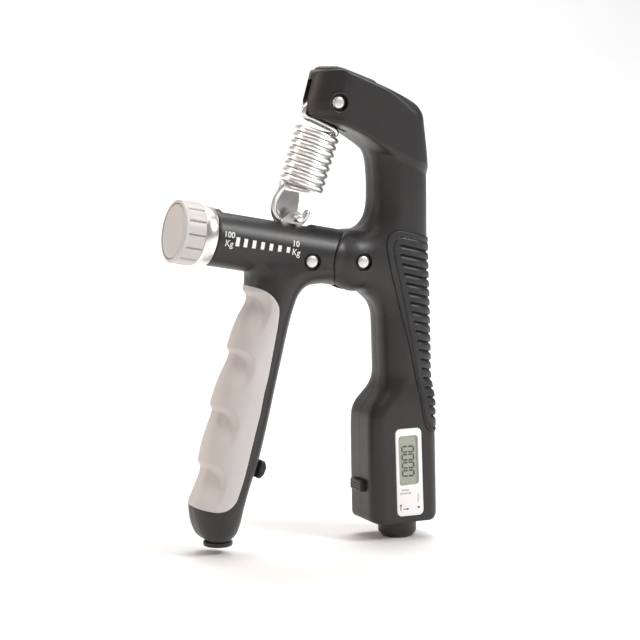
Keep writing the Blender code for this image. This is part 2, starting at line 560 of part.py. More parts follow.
def smooth_link(p, q, bend_p, bend_q, n):
    """Cubic link between two wire ends."""
    out = []
    for k in range(1, n):
        t = k / n
        a, b, c, d = (1 - t) ** 3, 3 * t * (1 - t) ** 2, 3 * t * t * (1 - t), t ** 3
        out.append(p * a + bend_p * b + bend_q * c + q * d)
    return out


per_turn = 14
cuts = [0.0, 2.0, 6.6, COIL_TURNS]
gap_turn = 0.3 / (2 * math.pi * COIL_R)


def coil_run(t0, t1):
    n = max(2, round((t1 - t0) * per_turn))
    return [coil_point(t0 + (t1 - t0) * k / n) for k in range(n + 1)]


lower_loop = loop(low_c, 1, 175, 0, 10)
lower_run = coil_run(cuts[0], cuts[1] - gap_turn)
lower_path = lower_loop + smooth_link(lower_loop[-1], lower_run[0], lower_loop[-1] + axis * 2.0,
                                      lower_run[0] - Vector((0, 2.2, 0)), 4) + lower_run
upper_loop = loop(top_c, -1, 0, 175, 10)
upper_run = coil_run(cuts[2] + gap_turn, math.floor(COIL_TURNS) + 0.0)
upper_path = upper_run + smooth_link(upper_run[-1], upper_loop[0], upper_run[-1] + Vector((0, 2.2, 0)),
                                     upper_loop[0] - axis * 2.0, 4) + upper_loop
sweep("spring_lower", lower_path, WIRE_R, mat("steel", "spring_lower"))
sweep("spring_middle", coil_run(cuts[1] + gap_turn, cuts[2] - gap_turn), WIRE_R, mat("steel", "spring_middle"))
sweep("spring_upper", upper_path, WIRE_R, mat("steel", "spring_upper"))
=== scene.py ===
"""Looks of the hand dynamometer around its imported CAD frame. Shapes are worked out in millimetres."""
import bpy
import bmesh
import math
import numpy as np
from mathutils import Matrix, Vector


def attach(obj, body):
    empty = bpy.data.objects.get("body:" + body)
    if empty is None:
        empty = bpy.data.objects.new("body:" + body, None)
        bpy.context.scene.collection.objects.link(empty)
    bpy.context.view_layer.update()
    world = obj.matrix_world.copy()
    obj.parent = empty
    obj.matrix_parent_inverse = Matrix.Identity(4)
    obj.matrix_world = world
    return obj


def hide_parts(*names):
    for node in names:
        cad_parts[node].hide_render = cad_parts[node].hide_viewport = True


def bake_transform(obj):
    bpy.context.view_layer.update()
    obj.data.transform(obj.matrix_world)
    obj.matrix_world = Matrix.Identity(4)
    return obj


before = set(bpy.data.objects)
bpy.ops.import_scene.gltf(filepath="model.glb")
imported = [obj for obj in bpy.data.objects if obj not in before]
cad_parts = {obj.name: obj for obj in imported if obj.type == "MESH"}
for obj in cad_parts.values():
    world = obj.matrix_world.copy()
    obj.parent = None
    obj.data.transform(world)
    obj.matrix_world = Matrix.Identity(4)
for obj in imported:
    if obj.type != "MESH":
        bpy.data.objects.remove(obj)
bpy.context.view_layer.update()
MM = 0.001

# ---------- main dimensions (mm)
SPLIT = 0.07  # half the width of the parting line
PIVOT = (18.1, 95.9)  # pins: x and z at rest
TONGUE_PIN = (-0.4, 96.7)
TOP_PIN = (9.0, 148.7)
LUG_PIN = (-3.6, 110.9)  # carriage pin
HUB_R = 10.4  # round hub of the frame about the pivot
CUP_R = 10.75  # hollow in the grip that takes the hub
HALF_T = 9.9  # half the thickness of both handles
TILT = math.radians(10.5)  # slope of the barrel
START = (-28.3, 104.5)  # zero point on the barrel's axis
BARREL_R = 9.45
BARREL_END = 5.4  # along the axis from the zero point
COLLAR_L = 4.5
KNOB_L = 7.6
KNOB_R = 10.5
PIN_R = 1.4
PIN_HOLE_R = PIN_R + 0.05
RECESS_R = 3.05  # recess round each pin head
FRAME_SCREWS = ((34.0, 143.6), (27.6, 104.6), (35.5, 50.2))
GRIP_SCREWS = ((-11.4, 90.4), (-32.0, 10.4))
BUTTON_X = 36.0
LABEL = [(29.75, 38.75), (39.6, 38.75), (40.8, 8.65), (30.8, 8.65)]  # corners of the faceplate
# along the barrel towards the dial, and across it
AX = np.array([-math.cos(TILT), 0.0, math.sin(TILT)])
UP = np.array([math.sin(TILT), 0.0, math.cos(TILT)])
A0 = np.array([START[0], 0.0, START[1]])


# ---------- fields
def spline(points, closed=True, per=8):
    """Centripetal Catmull-Rom line through the points."""
    p = np.array(points, float)
    q = np.vstack([p[-1:], p, p[:2]]) if closed else np.vstack([2 * p[0] - p[1], p, 2 * p[-1] - p[-2]])
    out = []
    for a, b, c, d in zip(q, q[1:], q[2:], q[3:]):
        t1 = np.linalg.norm(b - a) ** 0.5
        t2 = t1 + np.linalg.norm(c - b) ** 0.5
        t3 = t2 + np.linalg.norm(d - c) ** 0.5
        t = np.linspace(t1, t2, per, endpoint=False)[:, None]
        u = a * (t1 - t) / t1 + b * t / t1
        v = b * (t2 - t) / (t2 - t1) + c * (t - t1) / (t2 - t1)
        w = c * (t3 - t) / (t3 - t2) + d * (t - t2) / (t3 - t2)
        m = u * (t2 - t) / t2 + v * t / t2
        n = v * (t3 - t) / (t3 - t1) + w * (t - t1) / (t3 - t1)
        out.append(m * (t2 - t) / (t2 - t1) + n * (t - t1) / (t2 - t1))
    out = np.vstack(out)
    return out if closed else np.vstack([out, p[-1:]])


def signed_distance(line, x, z):
    """Distance to a closed outline, positive inside."""
    best = np.full(x.shape, 1e9)
    inside = np.zeros(x.shape, bool)
    for (ax, az), (bx, bz) in zip(line, np.roll(line, -1, 0)):
        ex, ez = bx - ax, bz - az
        length = ex * ex + ez * ez
        if length < 1e-12:
            continue
        t = np.clip(((x - ax) * ex + (z - az) * ez) / length, 0, 1)
        best = np.minimum(best, (x - ax - t * ex) ** 2 + (z - az - t * ez) ** 2)
        if ez:
            inside ^= ((az > z) != (bz > z)) & (x < ax + (z - az) / ez * ex)
    best = np.sqrt(best)
    return np.where(inside, best, -best)


class Outline:
    """Signed distance of a closed outline, kept on a grid and read back with cubic interpolation."""

    def __init__(self, points, per=8, step=0.4, pad=8.0, smooth=True):
        self.line = spline(points, True, per) if smooth else np.array(points, float)
        self.lo = self.line.min(0) - pad
        n = np.ceil((self.line.max(0) + pad - self.lo) / step).astype(int) + 1
        x = self.lo[0] + step * np.arange(n[0])[:, None] + np.zeros((1, n[1]))
        z = self.lo[1] + step * np.arange(n[1])[None, :] + np.zeros((n[0], 1))
        self.v = signed_distance(self.line, x, z)
        self.step = step

    def __call__(self, x, z):
        u = (x - self.lo[0]) / self.step
        w = (z - self.lo[1]) / self.step
        u, w = np.broadcast_arrays(u, w)
        nu, nw = self.v.shape
        cu, cw = np.clip(u, 1, nu - 2.001), np.clip(w, 1, nw - 2.001)
        i, j = cu.astype(int), cw.astype(int)
        f, g = cu - i, cw - j
        total = 0.0
        wf, wg = cubic(f), cubic(g)
        for a in range(4):
            row = 0.0
            for b in range(4):
                row = row + self.v[i + a - 1, j + b - 1] * wg[b]
            total = total + row * wf[a]
        return total - np.hypot(u - cu, w - cw) * self.step


def cubic(t):
    return (0.5 * (-t + 2 * t ** 2 - t ** 3), 0.5 * (2 - 5 * t ** 2 + 3 * t ** 3),
            0.5 * (t + 4 * t ** 2 - 3 * t ** 3), 0.5 * (t ** 3 - t ** 2))


def step01(v, a, b):
    t = np.clip((v - a) / (b - a), 0, 1)
    return t * t * (3 - 2 * t)


def smin(a, b, k):
    h = np.clip(0.5 + 0.5 * (b - a) / k, 0, 1)
    return b + (a - b) * h - k * h * (1 - h)


def both(a, b, r):
    """Intersection of two solids with an edge of radius r."""
    return np.minimum(np.maximum(a, b), -r) + np.hypot(np.maximum(a + r, 0), np.maximum(b + r, 0))


def bar(d, y, h, rho, rho_y=None):
    """Prism along Y of half thickness h whose outline edge is an oval of rho by rho_y."""
    rho_y = rho if rho_y is None else rho_y
    u = rho - d
    w = (np.abs(y) - (h - rho_y)) * (rho / rho_y)
    return np.minimum(np.maximum(u, w), 0) + np.hypot(np.maximum(u, 0), np.maximum(w, 0)) - rho


def barrel_distance(x, y, z):
    """Distance along the barrel's axis, and out from it."""
    dx, dz = x - START[0], z - START[1]
    s = dx * AX[0] + dz * AX[2]
    h = dx * UP[0] + dz * UP[2]
    return s, np.hypot(h, y)


# ---------- meshes
def new_object(name, verts, faces, mat=None, sharp=40.0):
    mesh = bpy.data.meshes.new(name)
    mesh.from_pydata([tuple(v) for v in np.asarray(verts) * MM], [],
                     [tuple(int(i) for i in f) for f in faces])
    mesh.update()
    ob = bpy.data.objects.new(name, mesh)
    bpy.context.scene.collection.objects.link(ob)
    shade(ob, sharp)
    if mat is not None:
        mesh.materials.append(mat)
    return ob


def shade(ob, sharp=40.0):
    """Outward normals and smooth shading with sharp edges above an angle."""
    bm = bmesh.new()
    bm.from_mesh(ob.data)
    bmesh.ops.recalc_face_normals(bm, faces=bm.faces)
    for f in bm.faces:
        f.smooth = True
    limit = math.radians(sharp)
    for e in bm.edges:
        e.smooth = len(e.link_faces) == 2 and e.calc_face_angle(0.0) < limit
    bm.to_mesh(ob.data)
    bm.free()


def from_field(name, field, lo, hi, step, mat=None):
    """Closed quad mesh of field < 0 inside a box: surface nets, then every vertex moved onto the surface."""
    axes = [np.arange(lo[k], hi[k] + step, step) for k in range(3)]
    x, y, z = axes[0][:, None, None], axes[1][None, :, None], axes[2][None, None, :]
    f = np.ascontiguousarray(np.broadcast_to(field(x, y, z), [len(a) for a in axes])).astype(float)
    for k in range(3):          # keep the border outside
        np.moveaxis(f, k, 0)[[0, -1]] = step
    shape = np.array(f.shape)
    cells = shape - 1
    total = int(np.prod(cells))
    acc = np.zeros((3, total))
    cnt = np.zeros(total)
    crossings = []
    for k in range(3):
        a = np.take(f, range(0, shape[k] - 1), k)
        b = np.take(f, range(1, shape[k]), k)
        hit = (a < 0) != (b < 0)
        idx = np.argwhere(hit)
        t = (a[hit] / (a[hit] - b[hit]))
        pos = idx.astype(float)
        pos[:, k] += t
        o1, o2 = [(1, 2), (2, 0), (0, 1)][k]
        ring = []
        for d1, d2 in ((0, 0), (-1, 0), (-1, -1), (0, -1)):
            c = idx.copy()
            c[:, o1] += d1
            c[:, o2] += d2
            flat = (c[:, 0] * cells[1] + c[:, 1]) * cells[2] + c[:, 2]
            ring.append(flat)
            for m in range(3):
                acc[m] += np.bincount(flat, pos[:, m], total)
            cnt += np.bincount(flat, minlength=total)
        crossings.append((np.stack(ring, 1), a[hit] < 0))
    used = np.flatnonzero(cnt)
    number = np.full(total, -1)
    number[used] = np.arange(len(used))
    v = (acc[:, used] / cnt[used]).T * step + np.array([a[0] for a in axes])
    faces = []
    for ring, inside in crossings:
        q = number[ring]
        q[~inside] = q[~inside][:, ::-1]
        faces.append(q)
    faces = np.vstack(faces)
    e = 0.04                    # step of the slope estimate
    for _ in range(3):
        p = v.T
        ends = [(p + e * u[:, None], p - e * u[:, None]) for u in np.eye(3)]
        g = np.stack([(field(*a) - field(*b)) / (2 * e) for a, b in ends])
        size = np.maximum((g ** 2).sum(0), 0.05)
        move = -field(*p) * g / size
        length = np.maximum(np.sqrt((move ** 2).sum(0)), 1e-9)
        v = v + (move * np.minimum(1, 0.35 * step / length)).T
    return new_object(name, v, faces, mat)


def skin(name, rings, mat=None, sharp=40.0, caps=True, closed=False):
    """Quad skin over rings of equal point count."""
    rings = np.array(rings, float)
    m, n = rings.shape[:2]
    faces = []
    for a in range(m if closed else m - 1):
        b = (a + 1) % m
        for i in range(n):
            j = (i + 1) % n
            faces.append((a * n + i, a * n + j, b * n + j, b * n + i))
    if caps and not closed:
        faces.append(tuple(range(n))[::-1])
        faces.append(tuple((m - 1) * n + i for i in range(n)))
    return new_object(name, rings.reshape(-1, 3), faces, mat, sharp)


def turned(name, base, axis, profile, mat=None, segments=64, radius=None, sharp=40.0):
    """Body of revolution from (distance along axis, radius) pairs."""
    axis = np.array(axis, float) / np.linalg.norm(axis)
    side = np.array([0.0, 1.0, 0.0]) if abs(axis[1]) < 0.9 else np.array([1.0, 0.0, 0.0])
    u = side - axis * side.dot(axis)
    u /= np.linalg.norm(u)
    v = np.cross(axis, u)
    t = 2 * np.pi * np.arange(segments) / segments
    rings = []
    for s, r in profile:
        k = radius(t, s) if radius else 0.0
        rr = (r + k) * np.ones(segments)
        rings.append(np.array(base) + axis * s + np.outer(np.cos(t) * rr, u) + np.outer(np.sin(t) * rr, v))
    return skin(name, rings, mat, sharp)


def offset_line(line, d):
    """Move a closed anticlockwise line inwards by d."""
    prev, nxt = np.roll(line, 1, 0), np.roll(line, -1, 0)
    e1 = (line - prev) / np.linalg.norm(line - prev, axis=1)[:, None]
    e2 = (nxt - line) / np.linalg.norm(nxt - line, axis=1)[:, None]
    n1 = np.stack([-e1[:, 1], e1[:, 0]], 1)
    n2 = np.stack([-e2[:, 1], e2[:, 0]], 1)
    m = n1 + n2
    return line + m / np.maximum((m * n1).sum(1), 0.4)[:, None] * d


def ccw(line):
    line = np.array(line, float)
    nxt = np.roll(line, -1, 0)
    return line if (line[:, 0] * nxt[:, 1] - nxt[:, 0] * line[:, 1]).sum() > 0 else line[::-1]


def slab(name, line, y0, y1, r0=0.0, r1=0.0, mat=None, steps=4, sharp=40.0):
    """Prism along Y over a closed x, z line, with rims rounded by r0 and r1."""
    line = ccw(line)
    rows = []
    t = np.linspace(math.pi / 2, 0, steps + 1)
    rows += [(r0 * (1 - math.cos(a)), y0 + r0 - r0 * math.sin(a)) for a in t] if r0 else [(0, y0)]
    t = np.linspace(0, math.pi / 2, steps + 1)
    rows += [(r1 * (1 - math.cos(a)), y1 - r1 + r1 * math.sin(a)) for a in t] if r1 else [(0, y1)]
    rings = []
    for d, y in rows:
        p = offset_line(line, d) if d else line
        rings.append(np.stack([p[:, 0], np.full(len(p), y), p[:, 1]], 1))
    return skin(name, rings, mat, sharp)


def round_corners(corners, r, steps=6):
    """Closed line through the corners, each rounded by r (a number or one per corner)."""
    p = ccw(corners)
    out = []
    for i in range(len(p)):
        a, b, c = p[i - 1], p[i], p[(i + 1) % len(p)]
        ri = r[i] if hasattr(r, "__len__") else r
        u, v = (a - b) / np.linalg.norm(a - b), (c - b) / np.linalg.norm(c - b)
        half = math.acos(np.clip(u.dot(v), -1, 1)) / 2
        cut = ri / math.tan(half)
        m = (u + v) / np.linalg.norm(u + v)
        centre = b + m * ri / math.sin(half)
        s, e = b + u * cut - centre, b + v * cut - centre
        a0, a1 = math.atan2(s[1], s[0]), math.atan2(e[1], e[0])
        while a1 < a0:
            a1 += 2 * math.pi
        if a1 - a0 > math.pi:
            a1 -= 2 * math.pi
        for k in range(steps + 1):
            w = a0 + (a1 - a0) * k / steps
            out.append(centre + ri * np.array([math.cos(w), math.sin(w)]))
    return np.array(out)


def rod(x, z, y0, y1, r, segments=40):
    return turned("c", (x, 0, z), (0, 1, 0), [(y0, r), (y1, r)], None, segments)


def block(x0, x1, y0, y1, z0, z1):
    return slab("c", [(x0, z0), (x1, z0), (x1, z1), (x0, z1)], y0, y1)


def boolean(ob, tool, operation="DIFFERENCE"):
    """Apply an exact boolean at once and drop the tool."""
    mod = ob.modifiers.new("cut", "BOOLEAN")
    mod.operation = operation
    mod.solver = "EXACT"
    mod.object = tool
    mesh = bpy.data.meshes.new_from_object(ob.evaluated_get(bpy.context.evaluated_depsgraph_get()))
    ob.modifiers.remove(mod)
    ob.data = mesh
    bpy.data.objects.remove(tool)
    return ob


def duplicate(ob, name):
    c = ob.copy()
    c.data = ob.data.copy()
    c.name = name
    bpy.context.scene.collection.objects.link(c)
    return c


def tidy(ob, mat, sharp=40.0):
    """Merge slivers left by the cuts, drop vertices without faces and give the piece its material."""
    bm = bmesh.new()
    bm.from_mesh(ob.data)
    bmesh.ops.remove_doubles(bm, verts=bm.verts, dist=2e-6)
    bmesh.ops.delete(bm, geom=[v for v in bm.verts if not v.link_faces], context="VERTS")
    bm.to_mesh(ob.data)
    bm.free()
    ob.data.materials.clear()
    if mat is not None:
        ob.data.materials.append(mat)
    shade(ob, sharp)
    return ob


# ---------- materials
def material(name, colour, rough, metallic=0.0, *, vary, grain, bump, blotch=90.0, rough_vary=0.08,
             alpha=1.0, sheen=0.0):
    """Principled surface with broad colour drift, fine grain in bump and roughness."""
    m = bpy.data.materials.new(name)
    m.use_nodes = True
    t = m.node_tree
    b = t.nodes["Principled BSDF"]
    b.inputs["Metallic"].default_value = metallic
    b.inputs["Alpha"].default_value = alpha
    b.inputs["Sheen Weight"].default_value = sheen
    coord = t.nodes.new("ShaderNodeTexCoord")

    def noise(scale, detail):
        n = t.nodes.new("ShaderNodeTexNoise")
        n.inputs["Scale"].default_value = scale
        n.inputs["Detail"].default_value = detail
        n.inputs["Roughness"].default_value = 0.55
        t.links.new(coord.outputs["Object"], n.inputs["Vector"])
        return n

    def remap(source, lo, hi):
        r = t.nodes.new("ShaderNodeMapRange")
        r.inputs["From Min"].default_value = 0.3
        r.inputs["From Max"].default_value = 0.7
        r.inputs["To Min"].default_value = lo
        r.inputs["To Max"].default_value = hi
        t.links.new(source, r.inputs["Value"])
        return r.outputs["Result"]

    broad = noise(blotch, 3.0)
    fine = noise(grain, 2.0)
    mix = t.nodes.new("ShaderNodeMix")
    mix.data_type = "RGBA"
    dark = tuple(c * (1 - vary) for c in colour)
    light = tuple(min(1.0, c * (1 + vary)) for c in colour)
    mix.inputs["A"].default_value = (*dark, 1)
    mix.inputs["B"].default_value = (*light, 1)
    t.links.new(remap(broad.outputs["Fac"], 0.0, 1.0), mix.inputs["Factor"])
    speck = t.nodes.new("ShaderNodeMix")
    speck.data_type = "RGBA"
    speck.blend_type = "MULTIPLY"
    speck.inputs["B"].default_value = (1 - vary, 1 - vary, 1 - vary, 1)
    t.links.new(remap(fine.outputs["Fac"], 0.0, 1.0), speck.inputs["Factor"])
    t.links.new(mix.outputs["Result"], speck.inputs["A"])
    t.links.new(speck.outputs["Result"], b.inputs["Base Color"])
    t.links.new(remap(fine.outputs["Fac"], max(0.02, rough - rough_vary), min(1.0, rough + rough_vary)),
                b.inputs["Roughness"])
    bp = t.nodes.new("ShaderNodeBump")
    bp.inputs["Strength"].default_value = 0.6
    bp.inputs["Distance"].default_value = bump
    t.links.new(fine.outputs["Fac"], bp.inputs["Height"])
    t.links.new(bp.outputs["Normal"], b.inputs["Normal"])
    return m


CASE = material("case_plastic", (0.0215, 0.0202, 0.0202), 0.40, vary=0.14, grain=3200, bump=0.000012)
CASE_IN = material("inner_plastic", (0.022, 0.022, 0.022), 0.6, vary=0.2, grain=2400, bump=0.00002)
RUBBER = material("palm_rubber", (0.021, 0.0205, 0.021), 0.46, vary=0.2, grain=3800, bump=0.00002)
SOFT = material("soft_grip", (0.585, 0.55, 0.54), 0.58, vary=0.035, grain=2800, bump=0.000016, sheen=0.15)
KNOB = material("knob_plastic", (0.59, 0.565, 0.55), 0.42, vary=0.04, grain=3000, bump=0.00001)
CHROME = material("bright_steel", (0.93, 0.925, 0.915), 0.32, 1.0, vary=0.015, grain=5200, bump=0.0000002,
                  rough_vary=0.02)
PIN_END = material("pin_heads", (0.80, 0.79, 0.78), 0.34, 0.75, vary=0.06, grain=4200, bump=0.000012)
STEEL = material("plain_steel", (0.62, 0.61, 0.61), 0.36, 1.0, vary=0.04, grain=3600, bump=0.000001,
                 rough_vary=0.04)
TURNED = material("turned_steel", (0.84, 0.83, 0.82), 0.3, 1.0, vary=0.01, grain=5200, bump=0.0000002,
                  rough_vary=0.02)
BRASS = material("brass", (0.78, 0.57, 0.27), 0.3, 1.0, vary=0.1, grain=1500, bump=0.000005)
PAPER = material("label_white", (0.90, 0.89, 0.89), 0.36, vary=0.02, grain=5000, bump=0.000003)
INK = material("print_ink", (0.025, 0.025, 0.027), 0.5, vary=0.15, grain=5000, bump=0.000003)
WHITE_INK = material("white_print", (0.88, 0.88, 0.88), 0.45, vary=0.03, grain=5000, bump=0.000004)
GREY_INK = material("grey_print", (0.42, 0.41, 0.41), 0.5, vary=0.12, grain=5000, bump=0.000003)
LCD = material("lcd_grey", (0.335, 0.36, 0.275), 0.5, vary=0.05, grain=6000, bump=0.000002)
SEGMENT = material("lcd_segment", (0.008, 0.008, 0.008), 0.6, vary=0.2, grain=6000, bump=0.000002)
GLASS = material("clear_window", (0.9, 0.92, 0.9), 0.07, vary=0.01, grain=3000, bump=0.0000005,
                 rough_vary=0.02, alpha=0.05)
BOARD = material("board_green", (0.04, 0.2, 0.09), 0.45, vary=0.25, grain=1200, bump=0.00001)


# ---------- frame handle
def circle_points(cx, cz, r, a0, a1, n):
    return [(cx + r * math.cos(math.radians(a0 + (a1 - a0) * i / n)),
             cz + r * math.sin(math.radians(a0 + (a1 - a0) * i / n))) for i in range(n + 1)]


FRAME_LINE = [(4.2, 158.7), (6.8, 159.4), (10.4, 159.5), (14.5, 158.4), (21.5, 155.6), (29.0, 152.6),
              (36.4, 149.6), (40.0, 147.6), (42.2, 144.6), (43.0, 140.0), (43.8, 134.0), (44.5, 126.0),
              (44.8, 116.0), (44.9, 106.0), (45.2, 96.0), (45.7, 84.0), (46.2, 70.0), (46.5, 56.0),
              (46.6, 42.0), (46.9, 30.0), (47.2, 18.0), (47.4, 8.0), (47.4, -2.0), (44.0, -6.0),
              (26.0, -6.0), (22.2, -2.0), (22.1, 6.0), (22.0, 12.0),
              (21.8, 20.0), (21.6, 30.0), (21.5, 40.0), (21.9, 44.0), (23.3, 47.0), (25.2, 49.6),
              (26.9, 52.3), (27.7, 56.0), (27.7, 62.0), (27.5, 68.0), (27.3, 73.0), (26.9, 77.6),
              (25.2, 81.3), (22.4, 83.9)]
FRAME_LINE += circle_points(*PIVOT, HUB_R, -80, -255, 16)
FRAME_LINE += [(18.9, 106.3), (21.8, 107.6), (24.0, 110.2), (25.1, 114.0), (25.3, 119.0), (25.1, 125.0),
               (24.2, 130.6), (21.9, 134.4), (18.2, 137.6), (12.2, 140.5), (3.4, 144.1), (1.5, 144.9),
               (0.9, 146.2), (0.75, 149.0), (2.3, 154.8), (3.4, 157.6)]
frame_line = Outline(FRAME_LINE[::-1])
RIDGE = np.array([(7.2, 143.1), (16.3, 139.0), (23.7, 135.3), (33.0, 131.1), (46.0, 125.4)])
RIDGE_COS = 0.91  # turns a height above that line into a distance from it
HEAD_HALF_T = 10.5
HOUSING_LOW = 6.2


def ridge_height(x, z):
    """Height above the diagonal line where the flat head ends."""
    return (z - np.interp(x, RIDGE[:, 0], RIDGE[:, 1])) * RIDGE_COS


def frame_field(x, y, z, grow=0.0):
    d = frame_line(x, z)
    head = step01(ridge_height(x, z), -2.6, 0.6)
    housing = step01(z, 57.0, 46.0)
    rho = 8.3 + (4.6 - 8.3) * housing
    rho = rho + (1.1 + 6.0 * step01(x, 25.0, 43.0) - rho) * head
    h = HALF_T + 0.6 * housing
    h = h + (HEAD_HALF_T - h) * head
    f = bar(d, y, h, rho)
    _, r = barrel_distance(x, y, z)
    hub = both(r - BARREL_R, np.hypot(x - PIVOT[0], z - PIVOT[1]) - HUB_R, 0.5)
    f = np.where(np.abs(z - PIVOT[1]) < 22, smin(f, hub, 1.6 * step01(x, 6.0, 14.0) + 0.4), f)
    # nose rounded in plan
    centre = 10.4 + np.interp(z, [144.5, 146.0, 149.4, 155.1, 159.3], [1.8, 1.2, 1.0, 2.6, 3.8])
    nose = (np.maximum((centre - x) / 10.4, 0) ** 1.7 + (np.abs(y) / 10.6) ** 1.7 + 1e-9) ** (1 / 1.7)
    nose = np.where(x > centre, -8.0, (nose - 1) * 9.0)
    f = np.where((z > 136) & (x < 20), both(f, nose, 0.4), f)
    # bottom with its small radius
    low = both(HOUSING_LOW - z, 20.6 - x, 4.6)
    low = both(low, x - 48.8, 5.4)
    f = np.where(z < 26, both(f, low, 1.1), f)
    return f - grow


PALM_SEAM = [(36.0, 105.0), (33.0, 105.7), (30.2, 105.9), (27.9, 104.8), (26.7, 102.4), (27.4, 95.5),
             (30.0, 86.0),
             (32.9, 75.7), (35.6, 65.4), (37.8, 55.1), (39.3, 48.2), (40.8, 40.6), (41.8, 38.3),
             (43.2, 37.1), (45.0, 36.9)]
PALM_LINE = [(36.0, 102.9), (33.4, 103.5), (31.4, 103.6), (29.9, 102.7), (29.3, 100.6), (30.0, 95.0),
             (32.2, 86.0),
             (34.5, 75.7), (36.7, 65.4), (38.5, 55.1), (39.9, 48.2), (41.4, 41.2), (42.5, 39.4), (43.8, 38.6),
             (45.4, 38.3)]
palm_region = Outline(np.vstack([spline(PALM_SEAM, False, 8), [(58, 36.9), (58, 100.3), (45.0, 103.0)]]),
                      smooth=False)
palm_line = Outline(np.vstack([spline(PALM_LINE, False, 8), [(58, 38.3), (58, 98.2), (45.0, 100.9)]]),
                    smooth=False)
RIB_TOP, RIB_PITCH, RIB_COUNT, RIB_SLOPE = 99.55, 3.085, 19, 0.235
PALM_PROUD, PALM_SEAT, PALM_CORE = 0.42, -1.25, -1.5        # from the handle's surface


def palm_field(x, y, z):
    """Rubber pad that stands proud of the handle, with a line inside its border and cross ribs."""
    d = palm_region(x, z)
    line = palm_line(x, z)
    border = 0.42 * np.exp(-(line / 0.24) ** 2)
    inner = line - 2.2
    phase = (RIB_TOP - z - RIB_SLOPE * (x - 38.0)) / RIB_PITCH
    near = phase - np.round(phase)
    band = step01(inner, -0.3, 0.3) * step01(phase, -0.35, -0.2) * step01(phase, RIB_COUNT - 0.5,
            RIB_COUNT - 0.65)
    # narrow groove above each rib, and the rib's sloping upper edge
    groove = 0.62 * np.exp(-(near / 0.10) ** 2)
    slope = 0.42 * step01(near, -0.06, 0.01) * (1 - step01(near, 0.05, 0.42))
    skin_f = frame_field(x, y, z, PALM_PROUD) + border + band * (groove + slope)
    return both(skin_f, -d + 0.05, 0.35)


def palm_piece():
    pad = from_field("palm_pad", palm_field, (25.7, -11.6, 35.8), (48.8, 11.6, 107.4), 0.34)
    core = from_field("c", lambda x, y, z: frame_field(x, y, z, PALM_CORE), (22.0, -11, 30.0),
                      (48.8, 11, 112.0), 0.7)
    boolean(pad, core)
    cut_rod(pad, *FRAME_SCREWS[1], 2.0, 14.0, 2.75, 48)         # clear of the casing screw
    return tidy(pad, RUBBER, 50)


def cut_rod(ob, x, z, y0, y1, r, segments=40):
    return boolean(ob, rod(x, z, y0, y1, r, segments))


def fork_point(a):
    """Outline of the fork slot at a degrees round the pivot: open to the left, where the tongue leaves."""
    r = 13.0 if 135 <= a <= 265 else 8.0
    return PIVOT[0] + r * math.cos(math.radians(a)), PIVOT[1] + r * math.sin(math.radians(a))


def frame_piece():
    ob = from_field("frame", frame_field, (-0.1, -11.2, 4.6), (48.6, 11.2, 161.0), 0.5)
    # slot of the spring loop, open at the nose and below
    slot = round_corners([(-5, 128), (15.4, 128), (16.6, 146), (15.0, 154.2), (5.0, 156.2), (-5, 156.2)], 1.5)
    boolean(ob, slab("c", slot, -1.55, 1.55))
    # fork slot of the steel tongue
    boolean(ob, slab("c", [fork_point(a) for a in range(0, 360, 10)], -3.0, 3.0))
    for x, z in (TOP_PIN, PIVOT):
        cut_rod(ob, x, z, -12, 12, PIN_HOLE_R)
        for s in (-1, 1):
            y0, y1 = sorted((s * 8.75, s * 12))
            cut_rod(ob, x, z, y0, y1, RECESS_R, 56)
    # counter bay, hole of the plunger, bore and stem hole of the reset button
    boolean(ob, block(25.4, 43.6, -8.2, 8.2, 13.2, 44.0))
    boolean(ob, block(15, 27, -4.25, 4.25, 16.7, 20.9))
    boolean(ob, turned("c", (BUTTON_X, 0, -3), (0, 0, 1), [(0, 6.95), (13.8, 6.95)], None, 72))
    boolean(ob, turned("c", (BUTTON_X, 0, 9), (0, 0, 1), [(0, 4.6), (6, 4.6)], None, 48))
    # pocket and window of the faceplate, opening of the battery cover
    boolean(ob, slab("c", round_corners(offset_line(ccw(LABEL), -0.2), 1.95, 8), -14, -9.55))
    boolean(ob, block(32.2, 38.2, -14, -6, 19.6, 36.6))
    boolean(ob, slab("c", round_corners([(27.1, 17.1), (41.9, 17.1), (41.9, 36.9), (27.1, 36.9)], 1.6), 8.4,
                     14))
    for x, z in FRAME_SCREWS:
        cut_rod(ob, x, z, -5.0, 12, 1.2, 24)
        cut_rod(ob, x, z, 7.9, 12, 2.5, 40)
    # recess under the palm pad
    seat = from_field("c", lambda x, y, z: both(-frame_field(x, y, z, PALM_SEAT), -palm_region(x, z) - 0.08,
            0.2),
                      (24.7, -12.6, 34.8), (52.0, 12.6, 108.4), 0.6)
    boolean(ob, seat)
    return ob


def split_halves(ob, front_name, back_name, mat):
    """Front and back shell with a fine parting line."""
    back = duplicate(ob, back_name)
    ob.name = front_name
    boolean(ob, block(-80, 80, -SPLIT, 40, -20, 200))
    boolean(back, block(-80, 80, -40, SPLIT, -20, 200))
    return tidy(ob, mat), tidy(back, mat)


